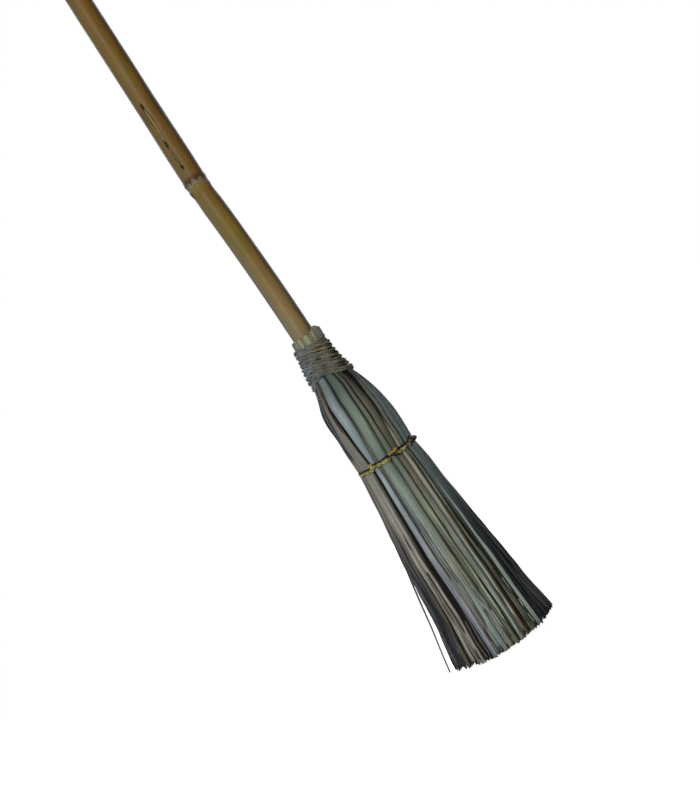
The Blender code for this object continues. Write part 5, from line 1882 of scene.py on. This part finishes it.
@dataclass(frozen=True)
class Stitching:
    """Two cords woven through the bundles and round the right edge: one yellow and one dark.

    The heights, above the stitching's middle, and the slopes, as what the cord rises over one
    bundle, are those on the front of the five bundles, in millimetres.
    """

    borders: tuple = (-0.99, -0.535, 0.088, 0.388, 0.822, 0.985)
    pad: float = 0.022  # how far a run keeps from the bundle's borders
    run_points: int = 7
    crown: float = 0.5 * MM  # how much further out a run's middle is than its ends
    shift: float = 1.45  # the photograph's zero is this far to the left, in millimetres
    yellow_size: float = 3.6 * MM
    dark_size: float = 2.1 * MM
    yellow_heights: tuple = (-3.1, -2.9, 0.9, -2.2, 2.0)
    yellow_slopes: tuple = (-0.8, -1.6, 0.4, 1.0, 0.8)
    dark_heights: tuple = (-0.2, 0.3, -2.6, 1.2, -1.0)
    dark_slopes: tuple = (-1.0, 0.4, -4.4, 0.4, 0.6)

    def face(self, number: int, facing: int, level: float, slope: float, off: float) -> np.ndarray:
        """Give the points of a cord over one bundle, on the front or the back, from left to right.

        Args:
            number: the bundle, from 0.
            facing: -1 on the front and 1 on the back.
            level: the height above the stitching's middle, in millimetres.
            slope: how much higher it ends on the right than it starts, in millimetres.
            off: how far the cord's middle stands off the leaves.

        Returns:
            The points.
        """
        t = np.linspace(0, 1, self.run_points)
        left, right = self.borders[number] + self.pad, self.borders[number + 1] - self.pad
        bearing = HEAD.bearing(left + (right - left) * t, facing)
        waver = 0.35 * np.sin(TAU * t + number)
        height = STITCH + (level + waver + slope * (t - 0.5)) * MM
        return HEAD.place(bearing, height, off + self.crown * np.sin(math.pi * t))

    def passes(self, heights: tuple, slopes: tuple, first: int, off: float, way: int) -> list[np.ndarray]:
        """Give a cord's runs over the five bundles, each on the side that the one before is not.

        Args:
            heights, slopes: its height and rise on the front of each bundle.
            first: its side of the first bundle on the way out, -1 for the front.
            off: how far its middle stands off the leaves.
            way: 1 on the way out to the right and -1 on the way back.

        Returns:
            The points of each run.
        """
        runs = []
        for number in range(len(heights))[::way]:
            facing = way * first * (-1) ** number
            level, slope = (heights[number], slopes[number]) if facing < 0 else (-1.2 * way * first, 0.0)
            runs.append(self.face(number, facing, level, slope, off)[::way])
        return runs

    def weave(self, heights: tuple, slopes: tuple, first: int, off: float, bulge: float) -> np.ndarray:
        """Give one cord's whole way: over and under to the right, round the edge and back.

        Args:
            heights, slopes: its height and rise on the front of each bundle.
            first: its side of the first bundle on the way out, -1 for the front.
            off: how far its middle stands off the leaves.
            bulge: how much further out it turns round the edge.

        Returns:
            The points, with even spacing.
        """
        turn = np.linspace(-0.4, 0.4, 3) * -first
        edge_z = STITCH + np.linspace(heights[4], -heights[4] * 0.5, 3) * MM
        edge = HEAD.place(turn, edge_z, np.full(3, off + bulge))
        out, back = (self.passes(heights, slopes, first, off, way) for way in (1, -1))
        return smooth_path(np.concatenate((*out, edge, *back)), 0.55 * MM)

    def knot(
        self, share: float, level: float, size: float, wide: float, tall: float, lean: float
    ) -> np.ndarray:
        """Give a wrap of two and a half turns about the cords, as a helix whose axis runs across.

        Args:
            share: where on the front, as a share of the half width.
            level: its height above the stitching, in millimetres.
            size: the cord's diameter.
            wide, tall: the helix's length and its radius up and down.
            lean: how far its top stands to the right of its foot.

        Returns:
            The points.
        """
        centre = HEAD.place(HEAD.bearing(share, -1), STITCH + level * MM, 1.3 * MM)
        t = np.linspace(0, 1, 60)
        angle = TAU * 2.4 * t + 0.9
        x = centre[0] + wide * (t - 0.5) + lean * np.sin(angle)
        y = centre[1] - (size * 0.55 + 0.7 * MM) * np.cos(angle) - 0.6 * MM
        z = centre[2] + tall * np.sin(angle)
        return np.stack([x, y, z], -1)

    def yellow(self, rng: np.random.Generator) -> None:
        """Weave the yellow cord with its orange, tan, olive and pale lengths, knot it and dress it.

        Args:
            rng: gives the patches and the roughness.
        """
        patch = Patchwork()
        way = self.weave(self.yellow_heights, self.yellow_slopes, -1, 1.7 * MM, 0.7 * MM)
        x = way[:, 0] / MM + self.shift
        places = np.linspace(0, 1, len(way))
        tones = blend_tones(Tone.CORD_YELLOW, Tone.CORD_ORANGE, ease(x, 3, 12) * ease(x, 22, 16) * 0.8)
        tones = blend_tones(tones, Tone.CORD_TAN, 0.85 * ease(x, 25, 29))
        for tone, cycles, strength in ((Tone.CORD_OLIVE, 19, 0.75), (Tone.CORD_ORANGE, 33, 0.5)):
            patches = np.clip(ripple(places, rng, 4, cycles), 0, 1)
            tones = blend_tones(tones, tone, strength * patches)
        tones = blend_tones(tones, Tone.CORD_PALE, ease(x, 35, 37))
        ends = sum(bell(x, at, 2.2) for at in (-29, -16, -8, 7, 28))
        tones = tones * (1 - 0.45 * np.clip(ends, 0, 1))[:, None]
        twisted(patch, way, (0, 0, 1), self.yellow_size, 2, 15.0 * MM, tones, rng, sides=9)
        wrap = self.knot(-0.572, -0.8, self.yellow_size, 2.6 * MM, 2.8 * MM, 0.9 * MM)
        spot = 0.7 * ease(wrap[:, 2], STITCH + 0.2 * MM, STITCH + 1.8 * MM)
        tones = blend_tones(Tone.CORD_YELLOW, Tone.CORD_ORANGE, spot)
        twisted(patch, wrap, (1, 0, 0), 2.3 * MM, 2, 5 * MM, tones, rng, sides=9, rough=0.09)
        finish = CordFinish("yellow_cord", thread=0.22, length_tone=0.16, roughness=0.66, specular=0.3)
        settle(patch.build("yellow_stitching"), finish.make(), "yellow_cord", "stitch_strand_yellow")

    def dark(self, rng: np.random.Generator) -> None:
        """Weave the dark cord with its lilac and pale lengths, knot it and dress it.

        Args:
            rng: gives the patches and the roughness.
        """
        patch = Patchwork()
        way = self.weave(self.dark_heights, self.dark_slopes, 1, 1.2 * MM, 0.0)
        lilac = np.clip(ripple(np.linspace(0, 1, len(way)), rng, 5, 30), 0, 0.7)
        tones = blend_tones(Tone.CORD_DARK, Tone.CORD_LILAC, lilac)
        tones = blend_tones(tones, Tone.CORD_PALE, 0.8 * ease(way[:, 0], 35.5 * MM, 37 * MM))
        twisted(patch, way, (0, 0, 1), self.dark_size, 2, 3.6 * MM, tones, rng, rough=0.08)
        wrap = self.knot(0.865, 1.0, self.dark_size, 2.4 * MM, 3.2 * MM, 0.5 * MM)
        tones = np.broadcast_to(Tone.CORD_DARK.light(), wrap.shape)
        twisted(patch, wrap, (1, 0, 0), 2.0 * MM, 2, 3.6 * MM, tones, rng, rough=0.08)
        finish = CordFinish("dark_cord", thread=0.25, length_tone=0.2, roughness=0.6, specular=0.3)
        settle(patch.build("dark_stitching"), finish.make(), "dark_cord", "stitch_strand_dark")

    def build(self) -> None:
        """Make the yellow cord, then the dark one."""
        rng = np.random.default_rng(41)
        self.yellow(rng)
        self.dark(rng)


# Studio


@dataclass(frozen=True)
class Studio:
    """A pale floor, a white surround, soft lights and the photograph's camera."""

    aim: tuple = (4.92 * MM, 0.0, 293.1 * MM)
    across: tuple = (0.83584, 0.0, -0.54897)
    up: tuple = (0.54897, 0.0, 0.83584)
    distance: float = 3.0
    tall: float = 0.800
    surround: float = 14.0
    floor_radius: float = 9.0
    floor_drop: float = 0.6 * MM  # how far the floor is below the tips
    lamps: tuple = (
        ("key", (-0.55, -2.9, 1.1), 0.7, 53),
        ("left_fill", (-2.4, -1.1, 0.8), 1.2, 9),
        ("right_fill", (2.4, 1.0, 0.9), 1.2, 4),
        ("back_left", (-1.5, 2.2, 1.3), 1.2, 18),
        ("back_right", (1.6, 2.2, 1.0), 1.2, 16),
    )

    def camera(self) -> None:
        """Set a level camera in front, rolled as the photograph is."""
        data = bpy.data.cameras.new("camera")
        data.sensor_fit = "AUTO"
        data.sensor_width = 36
        data.lens = 36 * self.distance / self.tall
        data.clip_start, data.clip_end = 0.05, 100
        camera = bpy.data.objects.new("camera", data)
        across, up = Vector(self.across), Vector(self.up)
        turn = Matrix((across, up, across.cross(up))).transposed().to_4x4()
        turn.translation = Vector(self.aim) + Vector((0, -self.distance, 0))
        camera.matrix_world = turn
        bpy.context.scene.collection.objects.link(camera)
        bpy.context.scene.camera = camera

    def glow(self, name: str, colour: tuple, strength: float) -> bpy.types.Material:
        """Give a pale material that also shines a little, so that it stays white.

        Args:
            name: its name.
            colour: its linear colour.
            strength: how much it shines.

        Returns:
            The material.
        """
        graph = Graph(name)
        spots = graph.noise(graph.add("TexCoord").outputs["Object"], (0.4, 0.4, 0.4))
        tint = graph.mix(spots, (*colour, 1), (*(0.985 * c for c in colour), 1))
        inputs = {"Base Color": tint, "Roughness": 0.9, "Emission Color": (1, 1, 1, 1)}
        return graph.finish({**inputs, "Emission Strength": strength})

    def floor(self) -> None:
        """Lay a round floor, whose points are rings about the origin."""
        rings, turns = np.linspace(0, self.floor_radius, 10), np.linspace(0, TAU, 65)
        radius, angle = np.meshgrid(rings, turns, indexing="ij")
        level = np.full_like(radius, -self.floor_drop)
        points = np.stack([radius * np.cos(angle), radius * np.sin(angle), level], -1)
        self.screen("floor", points, self.glow("floor", (0.74, 0.74, 0.74), 0.9))

    def backdrop(self) -> None:
        """Close a white ball round everything, seen by the camera alone."""
        rises, turns = np.linspace(-math.pi / 2, math.pi / 2, 25), np.linspace(0, TAU, 49)
        rise, angle = np.meshgrid(rises, turns, indexing="ij")
        flat = np.cos(rise)
        points = np.stack([flat * np.cos(angle), flat * np.sin(angle), np.sin(rise)], -1) * self.surround
        self.screen("backdrop", points, self.glow("backdrop", (0.8, 0.8, 0.8), 0.85))

    def screen(self, name: str, points: np.ndarray, material: bpy.types.Material) -> None:
        """Make a part of the surround that the camera alone sees.

        Args:
            name: its name.
            points: its grid.
            material: its finish.
        """
        patch = Patchwork()
        patch.add(points[None], points[None, ..., :2], np.full(3, 0.9))
        piece = patch.build(name, merge=True)
        piece.data.materials.append(material)
        for ray in ("diffuse", "glossy", "transmission", "shadow"):
            setattr(piece, f"visible_{ray}", False)

    def lamp(self, name: str, place: tuple, size: float, power: float) -> None:
        """Hang a soft square light that faces the head's upper part.

        Args:
            name: its name.
            place: where it hangs.
            size: the length of its side.
            power: in watts.
        """
        data = bpy.data.lights.new(name, "AREA")
        data.shape = "SQUARE"
        data.size = size
        data.energy = power
        light = bpy.data.objects.new(name, data)
        light.location = place
        light.rotation_mode = "QUATERNION"
        light.rotation_quaternion = (Vector((0, 0, 0.45)) - Vector(place)).to_track_quat("-Z", "Y")
        light.visible_camera = False
        bpy.context.scene.collection.objects.link(light)

    def build(self) -> None:
        """Set up the surround, the lights and the colour handling."""
        scene = bpy.context.scene
        scene.view_settings.view_transform = "Standard"
        scene.view_settings.look = "None"
        world = bpy.data.worlds.new("room")
        world.use_nodes = True
        world.node_tree.nodes["Background"].inputs["Color"].default_value = (0.98, 0.99, 1.0, 1)
        world.node_tree.nodes["Background"].inputs["Strength"].default_value = 0.18
        scene.world = world
        self.camera()
        self.floor()
        self.backdrop()
        for lamp in self.lamps:
            self.lamp(*lamp)
        LOG.info("studio: camera, floor, backdrop and %d lights", len(self.lamps))


def main() -> None:
    """Build the broom's pieces in order, then the studio."""
    logging.basicConfig(level=logging.INFO, format="%(name)s %(message)s")
    CaneHandle().build()
    LeafHead().build()
    BristleBundles().build()
    Lashing().build()
    Stitching().build()
    Studio().build()


if __name__ == "__main__":
    main()
